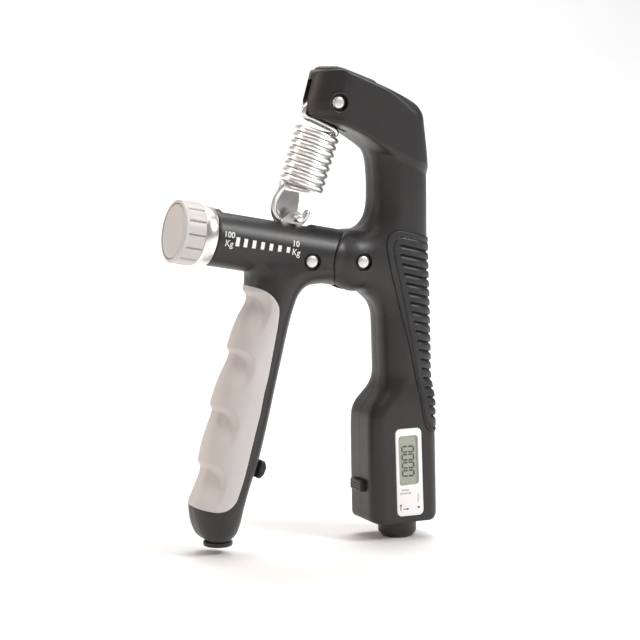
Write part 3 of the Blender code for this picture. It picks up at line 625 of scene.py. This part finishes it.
# ---------- grip handle
LIMB_LEFT = [(-19.6, 92.0), (-20.1, 86.2), (-23.2, 76.4), (-26.5, 66.4), (-29.6, 57.0), (-32.7, 47.4),
             (-34.9, 38.0), (-37.0, 28.4), (-38.6, 22.0), (-40.0, 16.6), (-39.5, 12.0), (-38.7, 9.4),
             (-37.2, 6.5),
             (-34.8, 4.7), (-31.6, 3.9), (-28.2, 4.6), (-25.7, 6.7), (-24.2, 10.0), (-22.6, 15.0),
             (-20.4, 22.0), (-17.5, 30.0), (-15.0, 39.0), (-12.8, 48.0), (-10.7, 57.0), (-8.7, 65.0),
             (-6.8, 73.0), (-4.6, 80.6), (-2.4, 85.4), (1.2, 88.4), (6.0, 89.0), (11.5, 88.5)]
limb_line = Outline(LIMB_LEFT + [(16.0, 92.0), (16.0, 96.0), (6.0, 98.0), (-8.0, 100.0), (-18.6, 98.0)])
SEAM = [(-41.6, 17.0), (-37.4, 15.9), (-33.6, 15.5), (-30.4, 16.4), (-27.9, 18.5), (-26.6, 21.4),
        (-25.0, 25.9),
        (-23.5, 31.4), (-22.1, 36.7), (-20.6, 42.2), (-19.2, 47.1), (-17.8, 53.6), (-16.3, 59.1),
        (-14.7, 66.7),
        (-13.4, 73.2), (-12.6, 78.1), (-12.4, 81.4), (-13.2, 83.9), (-15.2, 86.6), (-18.7, 88.8),
        (-22.9, 89.9)]
seam_region = Outline(np.vstack([spline(SEAM, False, 8), [(-58, 91.0), (-58, 17.2)]]), smooth=False)
CREST_TOP, CREST_PITCH = 87.5, 18.7
FINGER_PROUD, FINGER_SEAT, FINGER_CORE = 0.22, -2.65, -2.9  # from the handle's surface


def limb_field(x, y, z, grow=0.0):
    d = limb_line(x, z)
    rho = 8.6 - 1.2 * step01(z, 16.0, 6.0)
    return bar(d, y, HALF_T - 0.3 * step01(z, 14, 5), rho) - grow


def scallops(x, y, z):
    """Depth of the four finger grooves: shallow scoops under a crisp curved crest, fading downwards."""
    line = np.interp(z, [16.6, 28.4, 47.4, 66.4, 86.2, 92.0], [-40.0, -37.0, -32.7, -26.5, -20.1, -19.6])
    across = np.maximum(x - line, 0)                    # from the finger side towards the seam
    u = (CREST_TOP - z) / CREST_PITCH
    k = np.clip(np.floor(u + 0.12), 0, 3)
    v = (u - k) * CREST_PITCH                           # below the crest
    e = np.hypot((v - 7.6) / np.where(v < 7.6, 7.6, 11.0), across / 6.6)
    rim = step01(1 - e, 0.0, 0.25)
    fade = 1 - step01(v, 3.5, 15.5)
    return (0.7 + 1.6 * step01(across, 0.0, 3.2)) * rim * fade


def finger_field(x, y, z):
    d = seam_region(x, z)
    return both(limb_field(x, y, z, FINGER_PROUD) + scallops(x, y, z), -d + 0.06, 0.45)


def finger_piece():
    ob = from_field("finger_pad", finger_field, (-42.5, -11.2, 13.9), (-10.8, 11.2, 91.2), 0.4)
    core = from_field("c", lambda x, y, z: limb_field(x, y, z, FINGER_CORE), (-42.0, -10, 8.0),
                      (-4.0, 10, 96.0), 0.7)
    boolean(ob, core)
    return tidy(ob, SOFT, 50)


def grip_field(x, y, z):
    limb = limb_field(x, y, z)
    s, r = barrel_distance(x, y, z)
    tube = both(r - BARREL_R, s - BARREL_END, 0.35)
    return smin(limb, tube, 3.4 * step01(x, -24.0, -16.0) * (1 - step01(x, 0.0, 10.0)) + 0.3)


def on_barrel(s, h):
    """x and z of the place s along the barrel's axis and h above it."""
    p = A0 + AX * s + UP * h
    return p[0], p[2]


def grip_piece():
    ob = from_field("grip", grip_field, (-42.5, -11.2, 2.6), (22.5, 11.2, 116.0), 0.5)
    boolean(ob, rod(*PIVOT, -20, 20, CUP_R, 96))
    boolean(ob, slab("c", [(PIVOT[0] - 3, 84), (40, 80), (40, 112), (PIVOT[0] - 3, 108)], -20, 20))
    boolean(ob, turned("c", A0, AX, [(-24.45, 6.6), (BARREL_END + 5, 6.6)], None, 48))
    line = [on_barrel(*p) for p in ((-30.8, 5.6), (-30.8, 14.0), (3.4, 14.0), (3.4, 0.0), (-21.0, 0.0),
            (-21.0, 5.6))]
    boolean(ob, slab("c", line, -3.9, 3.9))
    boolean(ob, slab("c", [(-4.9, 93.5), (-4.9, 100.0), (-2.5, 102.2), (24, 101.6), (24, 88.0), (4.0, 89.8),
                           (-2.0, 91.0)], -2.5, 2.5))
    cut_rod(ob, *TONGUE_PIN, -12, 12, PIN_HOLE_R)
    for y0, y1 in ((-12, -8.2), (8.2, 12)):
        cut_rod(ob, *TONGUE_PIN, y0, y1, RECESS_R, 56)
    for x, z in GRIP_SCREWS:
        cut_rod(ob, x, z, -5.0, 12, 1.2, 24)
        cut_rod(ob, x, z, 7.3, 12, 2.5, 40)
    boolean(ob, turned("c", (-30.7, 0, 1.0), (0, 0, 1), [(0, 5.3), (3.5, 5.3)], None, 48))
    boolean(ob, slab("c", [(-18.8, 24.6), (-10, 21.2), (-10, 29), (-16.6, 31.2)], -4.2, 4.2))
    seat = from_field("c", lambda x, y, z: both(-limb_field(x, y, z, FINGER_SEAT), -seam_region(x, z) - 0.06,
            0.2),
                      (-45.0, -12.6, 12.0), (-9.8, 12.6, 93.0), 0.6)
    boolean(ob, seat)
    return ob


# ---------- handles on their bodies, and pins
def add(ob, body, nodes=()):
    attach(ob, body)
    if nodes:
        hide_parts(*nodes)
    return ob


add(palm_piece(), "frame", ["palm_grip"])
frame_front, frame_back = split_halves(frame_piece(), "frame_front", "frame_back", CASE)
add(frame_front, "frame", ["frame_shell_front"])
add(frame_back, "frame", ["frame_shell_back"])
add(finger_piece(), "grip", ["finger_grip"])
grip_front, grip_back = split_halves(grip_piece(), "grip_front", "grip_back", CASE)
add(grip_front, "grip", ["grip_shell_front"])
add(grip_back, "grip", ["grip_shell_back"])

# raised cap of the head
CAP = [(7.2, 158.6), (7.2, 159.9), (8.6, 160.45), (10.6, 160.5), (12.9, 159.95), (18.4, 157.95),
       (24.0, 155.9),
       (24.9, 155.2), (25.0, 154.1), (20.0, 155.6), (14.0, 157.6)]
add(slab("head_cap_top", round_corners(CAP, 0.35, 3), -5.6, 5.6, 0.6, 0.6, CASE, 5), "frame", ["head_cap"])


def pin_profile(y_end, r_head=2.05, r=PIN_R):
    """Shaft with a shallow domed head at each end; y_end is the outer face."""
    head = [(-y_end, 0.25), (-y_end + 0.02, 1.0), (-y_end + 0.1, 1.55), (-y_end + 0.28, 1.9),
            (-y_end + 0.55, r_head), (-y_end + 0.9, r_head), (-y_end + 0.9, r)]
    return head + [(-s, rr) for s, rr in reversed(head)]


# each pin with its outer face and the handle's face round it
for name, (x, z), end, face, body, node in (("pin_spring", TOP_PIN, 10.15, 10.5, "frame", "spring_pin"),
                                            ("pin_pivot", PIVOT, 10.15, 9.9, "frame", "pivot_pin"),
                                            ("pin_tongue", TONGUE_PIN, 9.6, 9.35, "grip", "tongue_pin")):
    add(turned(name, (x, 0, z), (0, 1, 0), pin_profile(end), PIN_END, 56), body, [node])
    # thin raised lip round each recess
    for side in (-1, 1):
        y = side * face
        t = "front" if side < 0 else "back"
        ring = [(0.0, 3.3), (0.0, 3.04), (0.86, 3.0), (0.98, 3.06), (1.02, 3.16), (0.98, 3.26), (0.86, 3.34)]
        ring = [(y - side * 0.9 + side * s, r) for s, r in ring]
        a = 2 * np.pi * np.arange(56) / 56
        rings = [np.stack([x + r * np.cos(a), np.full(56, s), z + r * np.sin(a)], 1) for s, r in ring]
        add(skin(name + "_lip_" + t, rings, CASE, closed=True), body)

# carriage pin
add(turned("pin_carriage", (LUG_PIN[0], 0, LUG_PIN[1]), (0, 1, 0),
           [(-7.0, 1.0), (-6.8, 1.25), (-6.5, PIN_R), (6.5, PIN_R), (6.8, 1.25), (7.0, 1.0)], CHROME, 40),
    "carriage", ["carriage_pin"])


# plate behind the lower hook
s_lug = (LUG_PIN[0] - START[0]) * AX[0] + (LUG_PIN[1] - START[1]) * AX[2]
PLATE = [(-0.3, 4.9), (5.6, 4.9), (4.8, 9.0), (3.4, 11.2), (4.9, 13.0), (5.2, 15.0), (4.6, 17.4), (3.4, 19.3),
         (-2.2, 19.3), (-2.7, 17.0), (-2.7, 9.6)]
lug_plate = slab("lug_plate", round_corners([on_barrel(s_lug + s, h) for s, h in PLATE], 0.5, 3), 2.1, 3.5,
                 0.12, 0.12, STEEL, 2)
cut_rod(lug_plate, *LUG_PIN, -9, 9, PIN_R + 0.04)
add(tidy(lug_plate, STEEL), "carriage", ["carriage_cheek_back"])


# ---------- casing screws with a cross recess
def screw(name, x, z, y_head, nodes, body):
    """Pan head countersunk in the back shell; y_head is the outer face."""
    ob = turned(name, (x, 0, z), (0, 1, 0), [(-4.6, 0.5), (-4.2, 0.95), (y_head - 1.1, 0.95), (y_head - 1.1,
            1.95),
                                             (y_head - 0.35, 2.05), (y_head - 0.12, 1.8), (y_head, 1.2)],
                                             STEEL, 40)
    for k in range(2):
        w, l = (0.24, 1.15) if k else (1.15, 0.24)
        boolean(ob, slab("c", [(x - w, z - l), (x + w, z - l), (x + w, z + l), (x - w, z + l)],
                         y_head - 0.75, y_head + 1))
    add(tidy(ob, STEEL), body, nodes)


for k, (x, z) in enumerate(FRAME_SCREWS):
    screw("casing_screw_%d" % (k + 1), x, z, 9.1, ["frame_screw_%d" % (k + 1)], "frame")
for k, (x, z) in enumerate(GRIP_SCREWS):
    screw("casing_screw_%d" % (k + 4), x, z, 8.5, ["grip_screw_%d" % (k + 1)], "grip")

# ---------- counter
plate = slab("faceplate", round_corners(LABEL, 1.75, 8), -10.66, -9.62, 0.18, 0.0, PAPER, 3)
WINDOW = [(30.9, 36.25), (38.3, 36.35), (38.9, 19.5), (31.55, 19.15)]
boolean(plate, slab("c", round_corners(WINDOW, 1.1, 6), -14, -6))
add(tidy(plate, PAPER), "frame", ["counter_faceplate"])
panel = slab("lcd_face", round_corners([(30.6, 36.9), (38.7, 36.9), (39.2, 18.9), (31.1, 18.9)], 0.4), -10.0,
             -9.62,
             0.05, 0.0, LCD, 2)
add(panel, "frame", ["lcd_panel"])
add(slab("window_glass", round_corners(offset_line(ccw(WINDOW), 0.06), 1.0, 6), -10.5, -10.22,
         0.06, 0.06, GLASS, 2), "frame", ["lcd_lens"])


def joined(name, obs, mat):
    """One object from several separate small solids."""
    verts, faces = [], []
    for o in obs:
        n = len(verts)
        verts += [tuple(v.co / MM) for v in o.data.vertices]
        faces += [[i + n for i in p.vertices] for p in o.data.polygons]
        bpy.data.objects.remove(o)
    return new_object(name, verts, faces, mat)


# four zeros that read up the handle: each has six bars with gaps between them
DIGIT_Z = [31.6, 28.84, 26.08, 23.32]
for k, zc in enumerate(DIGIT_Z):
    xc = 34.72 + 0.035 * (33.2 - zc)
    half_x, half_z, w, lean = 2.42, 1.22, 0.56, 0.035
    bars = []
    for sx in (-1, 1):           # short ends of the digit: full bars along z
        bars.append([(xc + sx * (half_x - w), zc - half_z + 0.56), (xc + sx * half_x, zc - half_z + 0.3),
                     (xc + sx * half_x, zc + half_z - 0.3), (xc + sx * (half_x - w), zc + half_z - 0.56)])
    for sz in (-1, 1):           # long sides: two bars each, with a gap in the middle
        for sx in (-1, 1):
            bars.append([(xc + sx * 0.24, zc + sz * (half_z - w)),
                    (xc + sx * (half_x - 0.72), zc + sz * (half_z - w)),
                         (xc + sx * (half_x - 0.4), zc + sz * half_z), (xc + sx * 0.24, zc + sz * half_z)])
    obs = [slab("c", [(x - lean * (z - zc), z) for x, z in b], -10.06, -9.98) for b in bars]
    add(joined("digit_%d" % (k + 1), obs, SEGMENT), "frame")

# print on the faceplate: two rows and a column of dashes, two arrows and a dot
Y_PRINT = -10.66
PRINT_Y = (Y_PRINT - 0.03, Y_PRINT + 0.05)
DASH_GAP = 0.16


def dashes(name, x, z, widths, height, mat, vertical=False, lean=0.0):
    obs = []
    for w in widths:
        wide, tall = (height, w) if vertical else (w, height)
        rise = 0.0 if vertical else lean * w
        c = [(x, z), (x + wide, z + rise), (x + wide, z + tall + rise), (x, z + tall)]
        obs.append(slab("c", c, *PRINT_Y))
        if vertical:
            z += w + DASH_GAP
        else:
            x += w + DASH_GAP
            z += lean * (w + DASH_GAP)
    add(joined(name, obs, mat), "frame")


dashes("print_row_1", 32.3, 17.3, [0.42, 0.42, 0.3, 0.42, 0.42], 0.55, GREY_INK, lean=0.03)
dashes("print_row_2", 31.75, 16.2, [0.42, 0.3, 0.42, 0.42, 0.3, 0.42, 0.42, 0.3], 0.55, GREY_INK, lean=0.03)
dashes("print_column", 38.4, 13.3, [0.3, 0.3, 0.42, 0.3, 0.42, 0.3], 0.42, GREY_INK, vertical=True)


def arrow(name, x, z, dx, dz, length):
    u, v = np.array([dx, dz]), np.array([-dz, dx])
    p = np.array([x, z])
    a = slab("c", [tuple(p + v * 0.14), tuple(p - v * 0.14), tuple(p + u * (length - 0.7) - v * 0.14),
                   tuple(p + u * (length - 0.7) + v * 0.14)], *PRINT_Y)
    b = slab("c", [tuple(p + u * (length - 0.75) + v * 0.46), tuple(p + u * (length - 0.75) - v * 0.46),
                   tuple(p + u * length)], *PRINT_Y)
    add(joined(name, [a, b], INK), "frame")


arrow("arrow_up", 32.0, 10.7, 0.0, 1.0, 2.3)
arrow("arrow_right", 33.0, 11.1, 1.0, 0.0, 2.2)
add(turned("print_dot", (38.8, PRINT_Y[0], 11.4), (0, 1, 0), [(0, 0.4), (0.08, 0.4)], INK, 24), "frame")

# battery cover at the back with ridges for the thumb
cover = slab("battery_lid", round_corners([(27.3, 17.3), (41.7, 17.3), (41.7, 36.7), (27.3, 36.7)], 1.5),
             8.6, 10.45,
             0.0, 0.35, CASE, 4)
for k in range(5):
    z = 31.2 + 0.95 * k
    boolean(cover, slab("c", round_corners([(30.5, z), (38.5, z), (38.5, z + 0.45), (30.5, z + 0.45)], 0.2),
                        10.0, 12))
add(tidy(cover, CASE), "frame", ["battery_cover"])

# plunger with ribs on its end, and reset button
plunger = slab("plunger_key", round_corners([(19.9, 16.95), (26.4, 16.95), (26.4, 20.65), (19.9, 20.65)],
        0.45),
               -4.0, 4.0, 0.35, 0.35, CASE, 4)
for k in range(3):
    z = 17.75 + 0.85 * k
    boolean(plunger, block(18, 20.15, -3.2, 3.2, z, z + 0.3))
add(tidy(plunger, CASE), "plunger", ["count_plunger"])
add(turned("reset_key", (BUTTON_X, 0, 0), (0, 0, 1),
           [(0.22, 3.4), (0.0, 3.9), (0.0, 4.9), (0.12, 5.2), (0.6, 5.62), (1.3, 6.2), (1.7, 6.5), (2.2, 6.6),
            (9.0, 6.6), (9.2, 6.4), (9.2, 4.2), (13.4, 4.2), (13.5, 4.0)], CASE, 88), "button",
            ["reset_button"])

# ---------- grip end pieces
add(slab("striker_bump", round_corners([(-18.4, 25.0), (-16.9, 24.4), (-15.4, 25.6), (-14.4, 28.0), (-14.9,
        30.2),
                                        (-16.5, 30.8)], 0.7, 5), -3.9, 3.9, 0.9, 0.9, RUBBER, 5), "grip",
    ["striker_pad"])
add(turned("foot_pad", (-30.7, 0, 2.55), (0, 0, 1), [(0.0, 3.6), (0.02, 4.3), (0.2, 4.7), (0.5, 4.9), (1.5,
        4.9),
                                                     (1.9, 4.4)], RUBBER, 64), "grip", ["grip_foot"])

# ---------- barrel print: scale bars and numerals
PRINT_SUNK, PRINT_PROUD = -0.08, 0.05


def on_surface(s, up, lift):
    """Point of the barrel's front at s along the axis and an arc length up from the front line."""
    a = up / BARREL_R
    out = UP * math.sin(a) + np.array([0, -math.cos(a), 0])
    p = A0 + AX * s + out * BARREL_R
    for _ in range(2):                                  # on to the fillet, where there is one
        p = p - out * float(np.ravel(grip_field(p[:1], p[1:2], p[2:]))[0])
    return p + out * lift


def wrap(name, corners, mat, n=6):
    """Thin raised patch on the barrel; corners are (s, up)."""
    (s0, u0), (s1, u1), (s2, u2), (s3, u3) = corners
    rings = []
    for i in range(n + 1):
        t = i / n
        a = (s0 + (s3 - s0) * t, u0 + (u3 - u0) * t)
        b = (s1 + (s2 - s1) * t, u1 + (u2 - u1) * t)
        rings.append([on_surface(*a, PRINT_SUNK), on_surface(*b, PRINT_SUNK),
                      on_surface(*b, PRINT_PROUD), on_surface(*a, PRINT_PROUD)])
    return skin(name, rings, mat, 30)


BAR_X = [-27.0, -24.2, -21.2, -18.2, -15.2, -12.15, -9.1]
BAR_H = [2.85, 2.65, 2.5, 2.3, 2.15, 1.95, 1.75]
for k, (x, h) in enumerate(zip(BAR_X, BAR_H)):
    s = (x - START[0]) / AX[0]
    w = 0.66 - 0.008 * k
    top = h / 2 + 0.05
    add(wrap("scale_bar_%d" % (k + 1), [(s + w, -top), (s - w, -top), (s - w, top), (s + w, top)],
             WHITE_INK), "grip")


def numeral(name, text, s_mid, up_mid, height, squeeze, bold):
    """Flat text wrapped on to the barrel as thin raised print."""
    curve = bpy.data.curves.new("c", "FONT")
    curve.body = text
    curve.size = height * 1.42
    curve.align_x = "CENTER"
    curve.align_y = "CENTER"
    curve.extrude = 0.06
    curve.offset = bold
    curve.resolution_u = 4
    src = bpy.data.objects.new("c", curve)
    bpy.context.scene.collection.objects.link(src)
    bpy.context.view_layer.update()
    mesh = bpy.data.meshes.new_from_object(src.evaluated_get(bpy.context.evaluated_depsgraph_get()))
    bpy.data.objects.remove(src)
    bm = bmesh.new()
    bm.from_mesh(mesh)
    bmesh.ops.remove_doubles(bm, verts=bm.verts, dist=1e-5)
    bmesh.ops.triangulate(bm, faces=bm.faces)
    for v in bm.verts:
        lift = PRINT_PROUD if v.co.z > 0 else PRINT_SUNK
        v.co = Vector(on_surface(s_mid - v.co.x * squeeze, up_mid + v.co.y, lift)) * MM
    mesh.clear_geometry()
    bm.to_mesh(mesh)
    bm.free()
    ob = bpy.data.objects.new(name, mesh)
    bpy.context.scene.collection.objects.link(ob)
    mesh.materials.clear()
    mesh.materials.append(WHITE_INK)
    shade(ob, 30)
    add(ob, "grip")


def at(x, z):
    """(s, up) of a point of the barrel's front seen at x, z."""
    s = (x - START[0]) * AX[0] + (z - START[1]) * AX[2]
    h = (x - START[0]) * UP[0] + (z - START[1]) * UP[2]
    return s, BARREL_R * math.asin(max(-1, min(1, h / BARREL_R)))


# height, squeeze and boldness
UNIT_PRINT, NUMBER_PRINT = (2.1, 0.92, 0.012), (1.95, 0.95, 0.03)
for name, text, x, z in (("mark_100", "100", -29.75, 106.6), ("mark_kg_left", "Kg", -30.0, 103.75),
                         ("mark_10", "10", -6.2, 102.75), ("mark_kg_right", "Kg", -6.3, 99.95)):
    numeral(name, text, *at(x, z), *(UNIT_PRINT if text == "Kg" else NUMBER_PRINT))

# ---------- collar and dial
c0, c1 = BARREL_END + 0.3, BARREL_END + COLLAR_L
collar = turned("barrel_ring", A0, AX, [(c0, 9.3), (c0 + 0.06, 9.7), (c0 + 0.3, 9.9), (c1 - 0.25, 9.9), (c1,
        9.7)],
                TURNED, 96)
boolean(collar, turned("c", A0, AX, [(0, 3.05), (20, 3.05)], None, 40))
add(tidy(collar, TURNED), "grip", ["barrel_collar"])

s0 = BARREL_END + COLLAR_L + 0.3
s1 = s0 + KNOB_L
FLUTES = 14


def flute(t, s):
    """Radius change of the knob: short grooves between two plain rims."""
    k = FLUTES * t / (2 * math.pi)
    near = (k - np.round(k)) * 2 * math.pi / FLUTES * KNOB_R       # mm round the rim
    along = step01(s, s0 + 0.15, s0 + 0.5) * (1 - step01(s, s1 - 1.75, s1 - 1.4))
    return -(0.7 * np.exp(-(near / 0.26) ** 4) + 0.16 * np.exp(-(near / 0.8) ** 2)) * along


prof = [(s0, 8.0), (s0, 10.1), (s0 + 0.1, 10.25), (s0 + 0.3, 10.33)]
prof += [(s, 10.38 + 0.05 * math.sin((s - s0) / KNOB_L * math.pi)) for s in np.linspace(s0 + 0.6, s1 - 2.0,
        8)]
prof += [(s1 - 1.85 + 0.07 * k, 10.42) for k in range(0, 6)]
prof += [(s1 - 1.45, 10.45), (s1 - 0.9, 10.5), (s1 - 0.55, 10.45), (s1 - 0.3, 10.3), (s1 - 0.12, 10.02),
         (s1, 9.65), (s1, 9.45), (s1 - 0.1, 9.32), (s1 - 0.55, 9.25), (s1 - 0.95, 9.2), (s1 - 0.95, 3.0)]
knob = turned("dial_ring", A0, AX, prof, KNOB, FLUTES * 24, flute, 38)
boolean(knob, turned("c", A0, AX, [(s0 - 1, 2.75), (s1 - 2.6, 2.75)], None, 40))
add(tidy(knob, KNOB, 38), "dial", ["dial_knob"])
add(turned("dial_face", A0, AX, [(s1 - 0.75, 8.6), (s1 - 0.62, 8.95), (s1 - 0.35, 8.98), (s1 - 0.18, 8.86),
                                 (s1 - 0.10, 8.6), (s1 - 0.04, 7.6), (s1 + 0.01, 4.0), (s1 + 0.02, 0.6)],
                                 KNOB, 96),
    "dial", ["dial_cap"])

# ---------- spring
WIRE_R, COIL_R, TURNS, PITCH = 1.19, 6.62, 8.6, 2.42
top, low = np.array([TOP_PIN[0], 0, TOP_PIN[1]]), np.array([LUG_PIN[0], 0, LUG_PIN[1]])
axis = (top - low) / np.linalg.norm(top - low)
across = np.array([axis[2], 0, -axis[0]])
DEPTH = np.array([0.0, 1.0, 0.0])
LOW_R, LOW_SHIFT, TOP_R = 6.35, 1.5, 5.3          # hook radii, and how far the lower hook stands to the side
low_c = low + axis * math.sqrt((LOW_R - WIRE_R - PIN_R - 0.05) ** 2 - LOW_SHIFT ** 2) - across * LOW_SHIFT
top_c = top - axis * (TOP_R - WIRE_R - PIN_R - 0.05)
mid = (top + low) / 2


def coil_point(turn):
    a = 2 * math.pi * turn
    centre = mid + axis * (-PITCH * TURNS / 2 + PITCH * turn)
    return centre - across * (COIL_R * math.cos(a)) + DEPTH * (COIL_R * math.sin(a))


def coil(t0, t1):
    n = max(3, round((t1 - t0) * 44))
    return [coil_point(t0 + (t1 - t0) * k / n) for k in range(n + 1)]


def loop(centre, sign, r, start, stop, n=40):
    turns = np.radians(np.linspace(start, stop, n + 1))
    return [centre - across * (r * math.cos(a)) - axis * (sign * r * math.sin(a)) for a in turns]


def link(p, q, bp, bq, n=14):
    t = np.linspace(0, 1, n + 1)[1:-1, None]
    return list(p * (1 - t) ** 3 + 3 * bp * t * (1 - t) ** 2 + 3 * bq * t * t * (1 - t) + q * t ** 3)


def wire(name, path, mat, r=WIRE_R, sides=18, dome=(True, True)):
    """Round wire with domed ends along a path."""
    p = np.array(path)
    tangent = np.gradient(p, axis=0)
    tangent /= np.linalg.norm(tangent, axis=1)[:, None]
    u = np.cross(tangent[0], [0.3, 0.5, 0.8])
    rings = []
    for k, (c, t) in enumerate(zip(p, tangent)):
        u = u - t * u.dot(t)
        u /= np.linalg.norm(u)
        v = np.cross(t, u)
        a = 2 * np.pi * (np.arange(sides) + 0.5) / sides
        ring = np.outer(np.cos(a), u) + np.outer(np.sin(a), v)
        if k == 0 and dome[0]:
            rings += [c - t * r * math.sin(w) + ring * r * math.cos(w) for w in np.radians([82, 60, 38, 18])]
        rings.append(c + ring * r)
        if k == len(p) - 1 and dome[1]:
            rings += [c + t * r * math.sin(w) + ring * r * math.cos(w) for w in np.radians([18, 38, 60, 82])]
    return skin(name, rings, mat, 60)


SPLIT_TURN, LAST_TURN = 5.0, 8.42       # where the two wires meet, and where the coil ends
lower_loop = loop(low_c, 1, LOW_R, 175, 0)
lower = lower_loop + link(lower_loop[-1], coil_point(0.0), lower_loop[-1] + axis * 2.0,
                          coil_point(0.0) - DEPTH * 2.2) + coil(0.0, SPLIT_TURN)
upper_loop = loop(top_c, -1, TOP_R, 12, 168)
# the last turn crosses the top of the coil before it rises into the hook
turn_in = mid + axis * 12.3 + across * 4.2
turn_up = mid + axis * 13.1 - across * 3.4
out = coil_point(LAST_TURN)
heading = out - coil_point(LAST_TURN - 0.02)
heading /= np.linalg.norm(heading)
upper = coil(SPLIT_TURN, LAST_TURN) + link(out, turn_in, out + heading * 3.4, turn_in + across * 2.6)
upper += list(np.linspace(turn_in, turn_up, 12))
upper += link(turn_up, upper_loop[0], turn_up - across * 4.6 - axis * 0.2,
              upper_loop[0] - axis * 3.6 - across * 2.2) + upper_loop
coil_low = wire("spring_wire_low", lower, CHROME, dome=(True, False))
coil_top = wire("spring_wire_top", upper, CHROME, dome=(False, True))
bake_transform(coil_top)
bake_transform(coil_low)
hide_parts("spring_upper", "spring_middle")
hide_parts("spring_lower")

# ---------- CAD nodes that stay
KEPT = {"pivot_washer_front": STEEL, "pivot_washer_back": STEEL, "hinge_tongue": STEEL, "lead_screw": STEEL,
        "carriage_nut": BRASS, "screw_bush": BRASS, "carriage_cheek_front": STEEL,
        "counter_board": BOARD, "count_switch": CASE_IN, "battery": STEEL, "battery_clip": STEEL}
for node, mat in KEPT.items():
    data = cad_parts[node].data
    data.materials.clear()
    data.materials.append(mat)

# ---------- stage, lights and camera
def cyclorama():
    """Pale floor that curves up into a wall behind the object."""
    bend = np.linspace(0, math.pi / 2, 24)
    rows = [(-3.0, 0.0)] + [(2.2 + 1.5 * math.sin(a), 1.5 - 1.5 * math.cos(a)) for a in bend] + [(3.7, 4.5)]
    verts = [(x * 1000, y * 1000, z * 1000) for y, z in rows for x in (-6.0, 6.0)]
    faces = [(2 * k, 2 * k + 1, 2 * k + 3, 2 * k + 2) for k in range(len(rows) - 1)]
    return new_object("floor", verts, faces)


FLOOR = material("floor_paint", (0.93, 0.93, 0.93), 0.75, vary=0.008, grain=400, bump=0.00002, blotch=3)
floor = cyclorama()
floor.data.materials.append(FLOOR)


def area_light(name, place, aim, size, power, colour=(1, 1, 1), size_y=None):
    data = bpy.data.lights.new(name, "AREA")
    data.energy = power
    data.color = colour
    data.size = size
    if size_y:
        data.shape = "RECTANGLE"
        data.size_y = size_y
    ob = bpy.data.objects.new(name, data)
    bpy.context.scene.collection.objects.link(ob)
    ob.location = place
    ob.rotation_euler = (Vector(aim) - Vector(place)).to_track_quat("-Z", "Y").to_euler()
    ob.visible_camera = False
    return ob


AIM = Vector((0.0067, 0.0, 0.0760))
area_light("key", (0.8, -0.85, 0.95), AIM, 0.5, 14.0, (1.0, 0.995, 0.99))
area_light("side", (-1.2, 0.40, 0.5), AIM, 0.3, 4.2, (1.0, 0.84, 0.70), 0.9)
area_light("front", (-0.9, -0.9, 0.4), AIM, 0.9, 0.4, (1.0, 0.98, 0.96))
area_light("top", (-0.15, 0.0, 1.05), AIM, 1.0, 5.4, (1.0, 0.90, 0.82))
area_light("wall", (0.7, 0.9, 2.2), (1.4, 2.9, 0.1), 1.6, 80.0)

world = bpy.data.worlds.new("world")
bpy.context.scene.world = world
world.use_nodes = True
world.node_tree.nodes["Background"].inputs["Color"].default_value = (1.0, 1.0, 1.0, 1)
world.node_tree.nodes["Background"].inputs["Strength"].default_value = 0.22

BACK = Vector((-0.4195, -0.8996, 0.1219))  # from the aim towards the camera
DISTANCE, LENS = 0.74035, 124.3
cam_data = bpy.data.cameras.new("camera")
cam_data.sensor_width = 36.0
cam_data.lens = LENS
cam_data.clip_start, cam_data.clip_end = 0.01, 20.0
camera = bpy.data.objects.new("camera", cam_data)
bpy.context.scene.collection.objects.link(camera)
camera.location = AIM + BACK * DISTANCE
camera.rotation_euler = (-BACK).to_track_quat("-Z", "Y").to_euler()
bpy.context.scene.camera = camera
bpy.context.scene.view_settings.view_transform = "Standard"
